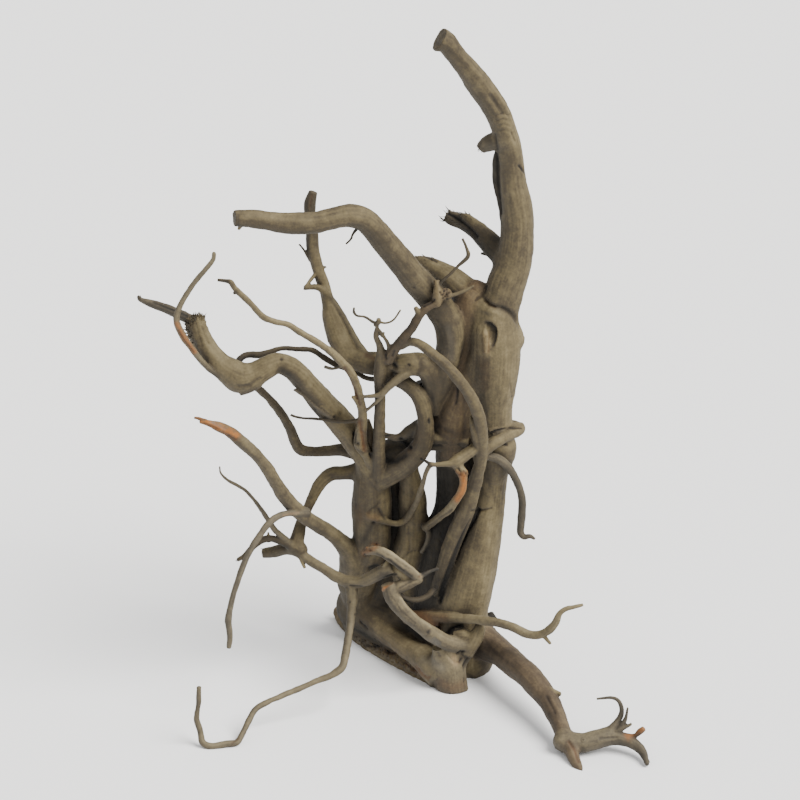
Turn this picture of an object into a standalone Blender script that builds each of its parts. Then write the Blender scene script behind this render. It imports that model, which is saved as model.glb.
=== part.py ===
"""Dark moor wood root: one grown piece of wood, standing on its sawn base.

Metres, +Z up. The origin is the middle of the flat, sawn underside. Every limb of the root is a
list of stations along it, read in millimetres in a plane that faces a viewer in front of the root:
across (to the right), up, back (real depth behind the trunk's middle, so minus is nearer) and
thickness. place() turns a station into a real point, because that viewer looks slightly down.
"""
import math

import bmesh
import bpy
from mathutils import Vector, noise

# Driving dimensions, in metres and radians
MM = 0.001
VIEW_TILT = math.radians(25.0)
VIEW_DISTANCE = 2.4
BASE_MIDDLE = Vector((0.008, 0.018, -0.1833))

# Ring spacing and the root's slow swelling along its limbs
LONGEST_STEP = 0.0180
TURN_PER_RING = math.radians(33.0)
SWELL_PER_RING = 0.34
LOBE_HEIGHT = 0.07
LOBE_LENGTH = 0.020
THINNEST = 0.0012

TRUNK = {
    "column": [
        (57, 54, 3, 22), (57, 44, 1, 29), (57, 30, 0, 31), (56, 16, 0, 31), (55, 2, 0, 27),
        (55, -12, 0, 25), (55, -28, 0, 25), (55, -42, 1, 20), (54, -56, 2, 19), (51.5, -70, 2, 21),
        (48, -85, 2, 24), (44, -100, 2, 27), (40, -113, 2, 29), (37, -126, 2, 31),
        (35, -140, 2, 32), (34, -152, 3, 34), (34, -165, 3, 34)],
    "tongue": [
        (47, 24, 1, 14), (42, 11, 2, 18), (37.5, -2, 3, 20), (33.5, -14, 4, 21), (31, -24, 6, 18),
        (31, -34, 9, 16)],
    "hollow_wall": [
        (36, -22, 12, 20), (33.5, -34, 13, 24.6), (33, -48, 14, 22.4), (32.5, -62, 15, 22.4),
        (30.5, -76, 15, 25), (28, -90, 14, 27), (26, -105, 13, 29), (25, -120, 13, 31),
        (24, -134, 14, 34), (24, -150, 16, 36), (24, -160, 16, 36)],
    "upper_limb": [
        (56, 44, 2, 24), (60, 57, 3, 23.5), (64, 70, 5, 23), (67.5, 80, 6, 21),
        (69.5, 90, 7, 20.5), (70.5, 100, 8, 19.5), (70.6, 110, 8, 18.8), (69.3, 120, 8, 18),
        (67.5, 130, 8, 16.5), (66.5, 140, 7, 15.5), (65.5, 150, 6, 15), (63, 160, 4, 14.5),
        (59.5, 170, 2, 14.5), (54, 180, -1, 14.6), (47, 190, -5, 14.6), (39.7, 200, -9, 13),
        (33, 208, -12, 12.4), (28.3, 214.2, -14, 13.2), (23.8, 216.8, -15, 14.6)],
    "limb_strand": [
        (59.5, 150, 6, 4), (58, 142, 7, 5.5), (58.6, 130, 9, 5.5), (61.5, 116, 10, 5.5),
        (63, 104, 10, 5.5), (62, 92, 9, 5), (61, 84, 8, 4)],
    "stub": [(61, 156, 4, 11), (55, 155, 6, 10.5), (50.5, 152.5, 7, 8.5), (47.6, 149.8, 7, 5.5)],
    "knuckle": [(54, -20, -2, 12), (59, -27, -3, 17), (58, -36, -3, 15), (55, -44, -1, 12)],
    "handle": [
        (1, 33, -16, 6), (6, 35, -19, 5), (12, 33.5, -22, 5.5), (20, 27, -26, 6.8),
        (27.5, 20.5, -29, 7.4), (33.5, 14, -30, 8), (39, 7, -30, 8.4), (43.5, -1, -29, 8.8),
        (46.5, -9, -27, 9), (48, -18, -25, 9), (48.5, -27, -22, 8.5), (48.5, -36, -19, 8),
        (46, -46, -16, 9), (43, -56, -13, 10), (39.5, -66, -11, 11), (35.5, -76, -9, 11),
        (31.5, -86, -7, 10.5), (28, -96, -5, 10), (25, -106, -3, 9), (22, -116, 0, 8)],
    "wrap": [
        (50, -29, -19, 8), (56, -24.5, -17, 7), (63, -20.5, -11, 6.6), (69.5, -18, -3, 6.4),
        (72, -15.8, 6, 6.2), (68.5, -13, 13, 6), (61, -11, 15, 6)],
    "link": [(16, -22, -4, 7), (24, -23.5, -4, 6.5), (32, -24, -3, 6.5), (41, -26, -4, 7)],
    "drooping": [
        (52, -33.5, -17, 5), (58, -35, -16, 5.4), (63, -38.5, -14, 5.2), (67.5, -44, -12, 4.8),
        (71, -51, -10, 4.6), (73, -58, -9, 4.5), (73.3, -66, -9, 4.5), (72.6, -74, -10, 4.7),
        (72.3, -79.5, -11, 4.4), (74.5, -82, -12, 3.2), (78, -81.8, -13, 2.6),
        (81, -83.5, -13, 1.4)],
    "rear_wall": [
        (48, 64, 10, 12), (41, 55, 10, 15), (37.5, 42, 11, 13), (36, 26, 10, 12), (34, 10, 9, 12),
        (29, -4, 9, 12), (27, -18, 11, 12)],
    "link_wall": [(10, -25, 2, 9), (19, -26.2, 3, 8), (28, -26, 4, 9)],
}

UPPER_BRANCHES = {
    "broken_fork": [
        (65, 83, 8, 14.5), (58, 90.5, 16, 13.8), (51, 97.6, 24, 12.8), (44, 103, 31, 11.2),
        (37, 106.8, 37, 9.2), (31, 109, 41, 8.4), (27, 111.5, 43, 6)],
    "fork_prong": [(48, 102.5, 28, 7), (41, 109, 33, 5), (36, 111, 36, 3)],
    "fork_spur": [(56, 87, 17, 3), (48.5, 88, 20, 1.2)],
    "short_limb": [
        (52, 50, 5, 20), (46, 59, 9, 20), (38, 66.5, 13, 18), (29, 73, 18, 15), (20, 79, 23, 11.5),
        (10, 84.2, 28, 7)],
    "long_branch": [
        (20, -10, 4, 7), (22.5, 0, 1, 9.5), (25.5, 12, -2, 12), (28, 24, -3, 13.5),
        (29.5, 36, -3, 15), (28.5, 46, -3, 16.5), (24, 55, -4, 17.5), (17, 63, -6, 17),
        (9, 71.5, -9, 16), (1, 81, -12, 15), (-7, 91.5, -16, 14.6), (-14, 101, -19, 14.5),
        (-21, 108, -22, 14), (-30, 110.5, -25, 13.5), (-40, 109, -28, 13), (-50, 106.7, -30, 13),
        (-60, 106, -32, 13.3), (-70, 106.3, -34, 12.3), (-80, 107.5, -36, 11.5),
        (-90, 108.8, -38, 11), (-99.5, 108.8, -40, 9.5)],
    "long_branch_twig": [(-24, 105, -23, 2.4), (-28, 100, -25, 1.4), (-29.5, 96.5, -26, 1.2),
                         (-32.5, 93.5, -27, 1.2)],
    "long_branch_spur": [(-95, 106, -39, 3.4), (-97, 102, -39, 1.8)],
    "rear_branch": [
        (2, 21, -2, 12), (-6, 21.5, -1, 14), (-14, 21.8, 1, 14), (-22, 23, 3, 12.8),
        (-30, 26.6, 6, 12.8), (-35.2, 34, 9, 13.2), (-38.6, 42, 12, 12.4), (-41.2, 50, 15, 10.6),
        (-43, 58, 18, 8), (-45.5, 68, 21, 7.4), (-48.3, 76, 23, 7.2), (-50.7, 84, 25, 7.6),
        (-52.6, 92, 27, 7.6), (-52.8, 100, 28, 7.2), (-54, 110, 30, 7), (-54, 118, 31, 7),
        (-52, 125, 32, 5)],
    "rear_strand": [
        (-42.5, 62, 18, 4.6), (-36, 52, 16, 5), (-30.4, 42, 13, 5), (-25.4, 33, 9, 5),
        (-20, 27, 5, 4)],
    "rear_twig": [(-54, 84, 25, 2), (-58, 90.5, 24, 1.2), (-60.5, 93.5, 23, 1.2)],
    "rear_spur": [(-48.5, 78.5, 24, 2.6), (-44.3, 80, 23, 1.3)],
    "rear_stub": [(-43, 61.5, 18, 4.8), (-48, 67, 16, 4), (-53, 67.8, 14, 3.5),
                  (-58, 67.3, 12, 3.2)],
    "rear_strut": [(-49.5, 77, 22.5, 2.6), (-54, 71.5, 17, 2.2), (-56.5, 68, 12.8, 2)],
}

MIDDLE_ROOTS = {
    "knob": [
        (-4, 22, -8, 9), (0, 21.5, -8, 12.5), (6, 21.5, -7, 14), (12, 21.3, -5, 14.5),
        (17, 17.5, -4, 13), (19.5, 9, -3, 11), (20.5, 0, -2, 9), (20.5, -8, -1, 7)],
    "curl": [
        (-4.5, 14, -3, 8), (-0.5, 12, -4, 9), (4, 9.5, -4, 9), (10, 4, -6, 9.4), (14, -4, -8, 9.8),
        (15.5, -14, -9, 10), (14.3, -24, -8, 12), (9.8, -32, -6, 13.6), (3, -38.5, -3, 14),
        (-5, -43, 1, 15), (-13, -46, 5, 16)],
    "curl_web": [(13, -15, -5, 9), (6, -19, -4, 8), (-1, -22.5, -4, 4.5), (-9, -21, -6, 3.2),
                 (-13, -19, -6, 3)],
    "curl_back": [(17, -24, 6, 12), (8, -29, 8, 16), (-3, -31, 9, 17), (-13, -35.5, 9, 18)],
    "left_stem": [
        (-16, -30, 8, 12), (-17, -42, 9, 19), (-17, -52, 10, 22.5), (-17, -64, 13, 24),
        (-17, -76, 17, 23.5), (-18, -88, 22, 22.5), (-22, -99, 28, 22.5), (-26, -110, 33, 23.5),
        (-27, -119, 38, 23.5), (-27, -128, 42, 24), (-24, -138, 46, 22)],
    "middle_stem": [
        (5, -40, 8, 12), (7, -50, 12, 13), (7.5, -60, 15, 15), (8, -70, 17, 15.5), (8, -80, 19, 17),
        (6, -90, 21, 18), (5, -100, 23, 18), (6, -112, 25, 19), (8, -125, 26, 22),
        (10, -138, 26, 26), (10, -150, 26, 28)],
    "thin_stem": [
        (-13, -44, 0, 9.4), (-12.8, -34, -4, 8), (-12.6, -22, -6, 7.6), (-12.2, -10, -8, 7.2),
        (-11.9, 2, -9, 6.8), (-12, 12, -10, 7.4), (-11.5, 20, -11, 8), (-11.2, 27, -12, 6.5),
        (-12.2, 33, -15, 4.2), (-14.4, 38, -18, 3.2), (-13.9, 43, -20, 2.6),
        (-12.9, 48.5, -22, 2.4)],
    "antler_left": [(-13.3, 46, -21, 1.8), (-16, 46.7, -22, 1.4), (-21, 49.5, -25, 1.3),
                    (-25.5, 50.5, -28, 1.2), (-28, 55, -30, 1.2)],
    "antler_right": [
        (-13.3, 47, -21.6, 1.8), (-8.3, 46.2, -24, 1.5), (-3.8, 48.2, -26, 1.3),
        (0.3, 54, -28, 1.2)],
    "antler_stem": [(-6.5, 26, -13, 3.2), (-7, 33, -16, 2), (-9.5, 37.5, -18, 1.6),
                    (-13.6, 43, -20, 1.6)],
    "pale_fork": [(4, 16.5, -11, 6.5), (-2, 12, -14, 5.4), (-8, 6.8, -15, 4.6),
                  (-12, 3.4, -15, 3.6), (-16.5, 2.4, -15, 2.4), (-22.5, 2, -14, 2.2)],
    "pale_fork_twig": [(-8, 6.3, -15, 3.2), (-13.5, -0.5, -14.5, 2.4), (-20.5, -6.5, -12, 1.9)],
    "knotty_root": [
        (-7, 25, -12, 8), (-3, 31, -16, 6.8), (2.5, 37.5, -19, 5.8), (7.5, 43.5, -20, 5.2),
        (11, 50, -20, 5.4), (15, 54.5, -19, 5.2), (20, 57.5, -17, 5), (24, 60, -14, 5)],
    "knotty_knob": [(11.5, 51.5, -20, 4), (9.3, 55.5, -21, 2.8)],
    "knotty_end": [(22.3, 58, -16.5, 5), (22.4, 62, -17, 5.4), (22.5, 67, -16, 4.8),
                   (22, 72.5, -14, 3)],
    "knotty_node": [(22, 62, -15, 6), (26.5, 63.5, -14, 7.5), (29.5, 63, -12, 6)],
    "tall_twig": [(23, 66, -16, 3), (25, 71, -16, 1.9), (29.5, 75, -16, 1.8), (35, 80.5, -16, 1.9),
                  (40.7, 86, -17, 2.4), (40, 91, -16, 1.7), (37.4, 97, -14, 1.2)],
    "flat_twig": [(27, 62, -15, 3.4), (33, 63.3, -14, 2.4), (39, 65.8, -13, 2.1),
                  (44.3, 68.6, -12, 1.2)],
    "node_root": [
        (47, -28, -21, 6), (41, -32.5, -25, 7), (35.5, -36.5, -28, 8), (31, -38.5, -30, 6),
        (25, -39, -31, 3.4), (19.5, -39.2, -31, 3.2), (16.5, -43, -29, 3), (14.5, -48, -26, 3),
        (12.5, -54, -20, 3.2), (10.5, -60, -11, 3.4), (7.5, -66, 0, 3.8), (4, -71, 6, 4),
        (-0.5, -73.8, 6.5, 4), (-6, -73.5, 5.5, 4), (-12, -71, 4, 5), (-18, -70, 4, 6)],
    "orange_root": [
        (36, -37, -28, 6), (36.8, -43.5, -29, 5.4), (38.3, -49, -29, 4.4), (37, -54.5, -27, 4.6),
        (33.5, -60, -23, 4.8), (29.5, -65.5, -17, 5), (24.5, -69.5, -9, 5), (19.5, -73.5, 1, 5.2),
        (13.5, -77.5, 12, 6)],
    "stem_wall": [
        (-6, -46, 24, 14), (-3, -60, 26, 14), (-2, -76, 30, 14), (-4, -92, 34, 17),
        (-9, -107, 37, 20), (-14, -118, 40, 22)],
    "knob_wall": [
        (-7, 17, 2, 9), (0, 14, 3, 10), (7, 11, 4, 10), (13, 4, 4, 9), (17, -6, 4, 9),
        (18, -18, 4, 8)],
    "left_wall": [(-19.5, -12, 1, 3), (-18.5, -20, 2, 7), (-18, -30, 4, 9)],
}

LEFT_BRANCHES = {
    "thick_branch": [
        (-15, -42, 6, 16), (-22, -31, 7, 16), (-30, -19.6, 6, 16.2), (-38, -10.6, 4, 16),
        (-46, -2.2, 1, 15.6), (-53, 6.3, -3, 14.4), (-60, 14.2, -7, 13.6), (-66.5, 19.7, -11, 13),
        (-73.5, 22, -14, 12.8), (-81, 19, -17, 13.8), (-88.5, 14.8, -18, 16.5),
        (-96, 13.8, -18, 19.4), (-102.5, 17.5, -18, 17), (-108.5, 22.5, -17, 15.4),
        (-115, 30, -14, 14.6), (-119.6, 38.5, -11, 14), (-122.4, 48, -8, 12.8)],
    "splinter": [
        (-118, 42, -6, 6.5), (-121.5, 46, -4, 6.5), (-127, 49.5, -2, 6), (-134, 52.5, 1, 6),
        (-142, 55.5, 4, 5.8), (-150, 58.5, 7, 4.5), (-157, 61.5, 9, 1.5)],
    "bent_twig": [
        (-108, 14, -23, 3), (-114, 18.5, -24, 3.4), (-119.5, 24, -25, 3.6), (-125, 31, -26, 4),
        (-130, 38, -26, 4.4), (-134, 47, -26, 4), (-133, 54, -26, 3.5), (-129, 62, -27, 3.1),
        (-123, 71, -29, 3), (-117, 78, -31, 3), (-112.3, 84, -33, 2.5), (-111.5, 88.5, -34, 2.2)],
    "under_rootlet": [(-63.5, 6.3, -12, 1.6), (-58, 3, -10, 2), (-52, -2.5, -7.5, 2.6),
                      (-46, -7.5, -6, 3), (-40, -12, -4, 3)],
    "winding_root": [
        (-15, -44, 1, 6), (-19, -34, -2, 6.5), (-23.5, -26, -4, 8), (-23, -17, -7, 7),
        (-22.5, -8, -10, 5.6), (-24, 0, -13, 5.4), (-26, 9, -16, 5.2), (-30, 17, -20, 5.2),
        (-36, 24, -24, 5.3), (-42, 30, -28, 4.8), (-50, 35.5, -32, 4.3), (-60, 41.5, -36, 4),
        (-67, 46, -39, 3.8), (-75, 47.8, -42, 3.7), (-82, 50.5, -45, 4), (-90, 58.5, -47, 3.6),
        (-96, 64, -48, 3.5), (-100.5, 69.5, -48, 3.5), (-104, 71.2, -47, 2.5),
        (-109.5, 72, -45, 1.3)],
    "winding_twig": [(-34, 21, -22.5, 2.6), (-40, 18.8, -24, 1.8), (-45.5, 20, -25, 2)],
    "winding_fork": [(-23.3, -7, -11, 2.6), (-26, -1.5, -15, 2), (-28.5, 2.2, -17, 2)],
    "rear_root": [
        (-10, 13, 0, 3.4), (-16, 12.5, 6, 3), (-21, 13.5, 9, 2.8), (-27, 17, 12, 3),
        (-34, 19.5, 15, 3.2), (-40, 22, 16, 3.4), (-47, 26.5, 16, 3.3), (-53, 30, 14, 3),
        (-62, 30.6, 11, 3), (-71, 31, 7, 3), (-80, 28.3, 3, 3.3), (-88, 28, -1, 3.3),
        (-93, 27, -4, 3.5), (-97, 23.5, -8, 4), (-99, 18, -13, 4.5)],
    "bow_root": [
        (-93, 13, -12, 5), (-88, 9, -9, 4.6), (-83, 5, -4, 4.6), (-77, -1, 0, 5), (-71, -8.5, 4, 5.5),
        (-66, -17, 8, 6), (-63, -25, 11, 6.6), (-59.5, -29.8, 13, 7), (-52, -31, 14, 6),
        (-43, -30.5, 15, 6.5), (-34, -30, 14, 8), (-25, -32, 12, 10), (-18, -36, 10, 12)],
    "cross_twig": [
        (-65.5, -9, -4, 1.2), (-60, -10.8, -5, 1.3), (-52, -11.2, -6, 1.5), (-44, -12, -6, 1.8),
        (-36, -13, -6.5, 2.2), (-28, -12.5, -8, 2.4), (-22.5, -11, -9, 2.6)],
    "arch_root": [
        (-20, -41, 13, 12), (-27, -43, 14, 9.8), (-34, -43.6, 15, 8.6), (-40, -44, 15, 8.2),
        (-44.8, -46.8, 15, 8), (-49.4, -52.4, 13, 7.4), (-53, -59.5, 11, 6.4), (-56.6, -67, 8, 6),
        (-59.5, -74.5, 5, 6.6), (-61.2, -81.5, 2, 8.2), (-63, -88, 0, 9.6)],
    "red_branch": [
        (-28.5, -108, 28, 18), (-28.6, -98, 22, 16.6), (-30.6, -90.5, 17, 13),
        (-37, -83.5, 10, 10.2), (-42.5, -79.3, 5, 9.2), (-49.5, -75, 0, 9), (-57.5, -69.8, -5, 9),
        (-64.5, -63.4, -10, 9), (-71.2, -55.4, -14, 8.6), (-76.5, -46.4, -18, 8),
        (-81, -39.2, -21, 7.6), (-87.5, -31.7, -25, 7.2), (-95.8, -24.4, -29, 7.2),
        (-102, -19, -32, 6.4), (-111, -15, -35, 4.8), (-117, -13.2, -37, 3.4),
        (-124, -10.2, -39, 1.3)],
    "hanging_root": [
        (-56.5, -67.2, -7, 6), (-62, -67.6, -12, 4.4), (-67.5, -68, -16, 3.8),
        (-72.5, -69.5, -19, 3.9), (-77, -72.5, -23, 4.2), (-81, -76.8, -26, 4.2),
        (-84.6, -82, -29, 4.1), (-88.4, -87.8, -33, 4), (-91.8, -94, -36, 3.8),
        (-94.7, -101, -39, 4), (-98, -110.5, -43, 3.8), (-100.8, -120, -46, 3.7),
        (-102.8, -130, -49, 4.4), (-102.7, -136, -50, 4), (-102, -142, -51, 3.8),
        (-102.6, -149, -52, 3)],
    "whip": [
        (-64, -88, -1, 5), (-70, -82.5, -3, 3.8), (-75, -78, -5, 3.5), (-79, -72, -7, 3.2),
        (-83, -66, -9, 2.8), (-87.5, -60, -12, 2.2), (-92.5, -54.5, -14, 2), (-98, -51, -16, 2),
        (-103.5, -48, -18, 1.8), (-107.5, -44, -19, 1.2), (-108.3, -40, -20, 1.2)],
    "snapped_root": [(-60, -90, -1, 9), (-68, -89.5, 2, 7.5), (-75, -91, 5, 6.8),
                     (-82.5, -92, 8, 5.6)],
    "claw_root": [
        (-63, -88, -1, 6), (-71, -85, -3, 4.8), (-78, -83, -5, 4.2), (-84, -84.8, -7, 4),
        (-89, -89, -9, 3.6), (-93, -93.2, -10, 3.2), (-97.6, -96, -11, 2.2)],
    "claw_spur": [(-79, -85, -5, 2.6), (-79, -79.3, -5, 1.2)],
    "claw_thorn": [(-60, -91.5, -2, 3.6), (-58.8, -97, -5, 2.4), (-57, -101, -7, 1.8)],
    "low_root": [
        (-64, -88.5, 0, 8), (-59.5, -92.3, -2, 6.2), (-52.5, -97.2, -6, 5.6),
        (-45, -101.6, -9, 5.6), (-39, -105.6, -12, 6.2), (-32, -108.5, -15, 6.8),
        (-24, -109, -18, 7.6), (-17, -106.4, -22, 8), (-10, -102.8, -26, 8.4),
        (-3, -100.5, -30, 9)],
}

BASE = {
    "core": [(-24, -124, 46, 28), (-10, -131, 36, 32), (5, -138, 26, 34), (20, -145, 16, 34),
             (33, -151, 8, 32), (44, -155, 2, 26)],
    "sill": [
        (-33, -130, 57, 18), (-26, -139.5, 45, 19), (-14, -149, 29, 20), (-2, -157, 13, 20),
        (10, -164, -1, 20), (21, -170, -13, 21), (30, -173.5, -20.5, 21)],
    "sill_ridge": [
        (-31, -129, 48, 12), (-27, -134, 40, 11), (-20, -138.5, 31, 10), (-12, -143, 22, 10),
        (-4, -147.5, 12, 10.5), (4, -152.5, 3, 11), (12, -158, -6, 12), (20, -163, -14, 14),
        (27, -167, -19, 16)],
    "front_lobe": [
        (37, -134, -9, 17), (36, -143, -14, 20), (33, -153, -18, 21), (31, -163, -22, 19.5),
        (30.5, -172, -24, 18)],
    "right_lobe": [(47, -138, 4, 18), (48, -148, 2, 22), (47, -158, 0, 20.5), (44, -168, -7, 18)],
    "heel_knob": [(48, -135, 9, 9), (57, -129.5, 14, 6.5)],
    "heel_toe": [(49, -140, 6, 9), (57, -139, 10, 5)],
    "pale_root": [(-22, -91.5, -27, 4), (-17, -90, -29, 6), (-12, -90.5, -31, 8),
                  (-5, -95, -33, 8.5), (2, -100, -33, 8.5), (8, -104.5, -31.5, 7.5),
                  (13, -107.5, -29.5, 5)],
    "pale_stub": [(11, -106.5, -30, 3.6), (17.5, -103, -28, 2.2), (23, -101, -26, 2)],
    "pale_return": [(11, -106.5, -30, 6), (4, -109, -33, 8.5), (-3, -112, -35, 9.5),
                    (-7, -115, -35, 8.5)],
    "pale_leg": [
        (-8, -112, -35, 8.5), (-4.5, -119, -36, 10.5), (0, -125, -36, 9.6), (6, -130.5, -35, 9.4),
        (13, -136.5, -33, 9.6), (20, -142, -30, 10.4), (28, -147, -26, 12), (35, -151, -20, 14)],
    "pale_bow": [(-2, -115, -33, 5), (4, -118.7, -30, 4.6), (10, -119.5, -26, 4.5),
                 (16, -117.5, -20, 4.3), (21, -113, -12, 5)],
    "right_root": [
        (14, -129.5, -3, 8), (21, -130, -7, 8.4), (28, -130.8, -12, 8.4), (36, -131, -17, 8.2),
        (44, -131.3, -22, 7.4), (52, -132.3, -27, 6.2), (60, -133.8, -31, 5.2),
        (68, -136.3, -35, 4.8), (75, -139.8, -39, 5), (82, -141, -42, 5.2), (88, -139, -44, 5),
        (93, -134, -46, 4.4), (95.5, -128.5, -47, 3.8), (99, -125.6, -47, 3.2),
        (104, -124.3, -47, 2.6), (110, -122.8, -46, 1.8)],
    "right_root_spur": [(85, -140, -43, 3.4), (90.5, -146.5, -45, 1.8)],
    "left_feeler": [
        (-29.5, -109, -15, 7.4), (-28.6, -117, -18, 7.4), (-29, -125, -25, 6), (-30, -135, -34, 5),
        (-31.4, -145, -43, 4.8), (-33, -154, -51, 4.8), (-35, -160.5, -57, 4.8),
        (-42, -165.5, -60, 4), (-50, -168.5, -62.5, 3.5), (-60, -173, -66, 3.5),
        (-70, -177, -70, 3.6), (-80, -181.5, -74, 3.6), (-87, -186, -77.5, 3.7),
        (-91, -193, -83, 3.6), (-94.5, -200, -89.5, 3.6), (-98, -205.5, -95.5, 3.9),
        (-105, -206.5, -97, 4), (-113, -207.8, -98.5, 4), (-118.3, -205.5, -97.5, 3.9),
        (-119.8, -199, -95, 3.4), (-122, -191, -94, 3.4), (-121, -182, -94, 3.2),
        (-120.5, -172, -94, 3)],
    "leg": [
        (44, -141, 0, 22), (53, -147, -9, 19), (60.8, -152, -20, 16), (67.2, -157.7, -33, 15.6),
        (77, -165.7, -49, 15), (83, -172.5, -60, 14.2), (89.4, -181, -73, 12.8),
        (93.3, -188.7, -84, 11.6), (96.3, -197.4, -95, 11), (99, -204.8, -103, 11),
        (102.6, -211.8, -112, 9.4), (105.6, -218, -119, 6.6), (109.6, -224.6, -126, 1.8)],
    "leg_spur": [(90, -175, -69, 5), (96.5, -176.5, -72, 2.4)],
    "toe": [
        (98, -204.5, -103, 12.5), (109, -205.5, -105, 12), (118, -203.6, -104, 11.5),
        (126, -201.9, -102, 11), (134, -203.6, -104, 8.6), (141, -206.6, -107.5, 7),
        (145.7, -211.5, -113, 5.4), (148.5, -219, -122, 2.4)],
    "long_claw": [(124, -200, -102, 7), (130, -193.5, -100, 4), (133, -187, -98, 3),
                  (131.5, -181, -97, 2.6), (127, -178.6, -97, 1.8), (118, -179.3, -98, 1.2)],
    "short_claw": [(130, -199, -102, 4.4), (135, -192, -102, 2.4), (136.7, -184.5, -102, 1.2)],
    "side_claw": [(130, -199, -103, 3.6), (139, -194.3, -104, 1.6)],
    "orange_claw": [(133, -201, -104, 3.6), (140.5, -201.5, -105, 2.6), (144, -198.8, -106, 4),
                    (146.5, -197, -106.5, 3.4)],
}

# The healed eye in the trunk's shoulder: across, up, back, then its half sizes
EYE_MIDDLE = (52.5, 38, -15)
EYE_HALF = (4.4, 4.5, 10.5)

GROUND_SIZE = 1.0
WOOD_COLOUR = (0.155, 0.125, 0.085, 1.0)
WOOD_ROUGHNESS = 0.82


def clear_scene():
    for old in list(bpy.data.objects):
        bpy.data.objects.remove(old)


def new_collection(name):
    collection = bpy.data.collections.new(name)
    bpy.context.scene.collection.children.link(collection)
    return collection


def place(across, up, back):
    """The real point of a station, and how much larger it is there than it looks."""
    eye = Vector((0.0, -math.cos(VIEW_TILT), math.sin(VIEW_TILT))) * VIEW_DISTANCE
    seen = Vector((across, up * math.sin(VIEW_TILT), up * math.cos(VIEW_TILT))) * MM
    reach = (back * MM - eye.y) / (seen.y - eye.y)
    return eye + (seen - eye) * reach - BASE_MIDDLE, reach


def stations_to_points(stations):
    """Real points with their real radius as a fourth number."""
    points = []
    for across, up, back, thickness in stations:
        where, reach = place(across, up, back)
        points.append(Vector((*where, max(thickness * MM, THINNEST) * reach / 2)))
    return points


def smooth_path(points, parts=8):
    """A Catmull-Rom curve through the points."""
    ends = [points[0] * 2 - points[1], *points, points[-1] * 2 - points[-2]]
    path = []
    for a, b, c, d in zip(ends, ends[1:], ends[2:], ends[3:]):
        for i in range(parts):
            t = i / parts
            path.append((b * 2 + (c - a) * t + (a * 2 - b * 5 + c * 4 - d) * t ** 2
                         + (b * 3 - a - c * 3 + d) * t ** 3) / 2)
    path.append(points[-1])
    return path


def thin_out(path):
    """Keeps a ring where the limb has turned, swelled or run on far enough."""
    kept = [path[0]]
    heading = (path[1] - path[0]).xyz
    for here, after in zip(path[1:], path[2:]):
        last = kept[-1]
        ahead = (after - here).xyz
        run = (here - last).xyz.length
        turned = heading.angle(ahead, 0.0)
        swelled = abs(here.w - last.w) / last.w
        if run < here.w * 0.5:
            continue
        if run > LONGEST_STEP or turned > TURN_PER_RING or swelled > SWELL_PER_RING:
            kept.append(here)
            heading = ahead
    kept.append(path[-1])
    return kept


def bevel_steps(radius):
    """Bevel resolution for a limb: 4, 6, 8 or 10 sides."""
    for limit, steps in ((0.0014, 0), (0.0036, 1), (0.0066, 2)):
        if radius < limit:
            return steps
    return 3


def facet_gain(steps):
    """How much wider the flat-sided tube is made, so that on average it is as wide as the limb."""
    return 2 / (1 + math.cos(math.pi / (4 + 2 * steps)))


def make_limb(name, stations, collection):
    """One closed tube along the stations, with the slow lobes of grown wood."""
    path = thin_out(smooth_path(stations_to_points(stations)))
    curve = bpy.data.curves.new(name, "CURVE")
    curve.dimensions = "3D"
    curve.bevel_depth = 1.0
    curve.bevel_resolution = bevel_steps(max(point.w for point in path))
    curve.use_fill_caps = True
    spline = curve.splines.new("POLY")
    spline.points.add(len(path) - 1)
    for point, station in zip(spline.points, path):
        point.co = (*station.xyz, 1.0)
        point.radius = station.w * facet_gain(curve.bevel_resolution)
    guide = bpy.data.objects.new(name, curve)
    collection.objects.link(guide)
    evaluated = guide.evaluated_get(bpy.context.evaluated_depsgraph_get())
    mesh = bpy.data.meshes.new_from_object(evaluated)
    bpy.data.objects.remove(guide)

    work = bmesh.new()
    work.from_mesh(mesh)
    bmesh.ops.remove_doubles(work, verts=work.verts, dist=0.00002)
    for vert in work.verts:
        middle = min(path, key=lambda station: (station.xyz - vert.co).length_squared)
        lobe = noise.noise(vert.co / LOBE_LENGTH)
        vert.co += (vert.co - middle.xyz) * lobe * LOBE_HEIGHT
    bmesh.ops.recalc_face_normals(work, faces=work.faces)
    bmesh.ops.triangulate(work, faces=work.faces)
    work.to_mesh(mesh)
    work.free()
    limb = bpy.data.objects.new(name, mesh)
    collection.objects.link(limb)
    return limb


def apply_boolean(target, operation, collection):
    """Joins or cuts the target with every object of a collection, and keeps the result."""
    boolean = target.modifiers.new(operation.lower(), "BOOLEAN")
    boolean.operation = operation
    boolean.operand_type = "COLLECTION"
    boolean.collection = collection
    boolean.solver = "EXACT"
    evaluated = target.evaluated_get(bpy.context.evaluated_depsgraph_get())
    mesh = bpy.data.meshes.new_from_object(evaluated)
    target.modifiers.remove(boolean)
    target.data = mesh


def keep_outer_body(mesh):
    """Drops loose scraps and any hollow that the joining has sealed in."""
    work = bmesh.new()
    work.from_mesh(mesh)
    unseen = set(work.verts)
    bodies = []
    while unseen:
        front = [unseen.pop()]
        body = list(front)
        while front:
            vert = front.pop()
            for edge in vert.link_edges:
                other = edge.other_vert(vert)
                if other in unseen:
                    unseen.remove(other)
                    front.append(other)
                    body.append(other)
        bodies.append(body)
    bodies.sort(key=len)
    for body in bodies[:-1]:
        bmesh.ops.delete(work, geom=body, context="VERTS")
    bmesh.ops.triangulate(work, faces=work.faces)
    work.to_mesh(mesh)
    work.free()


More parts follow.
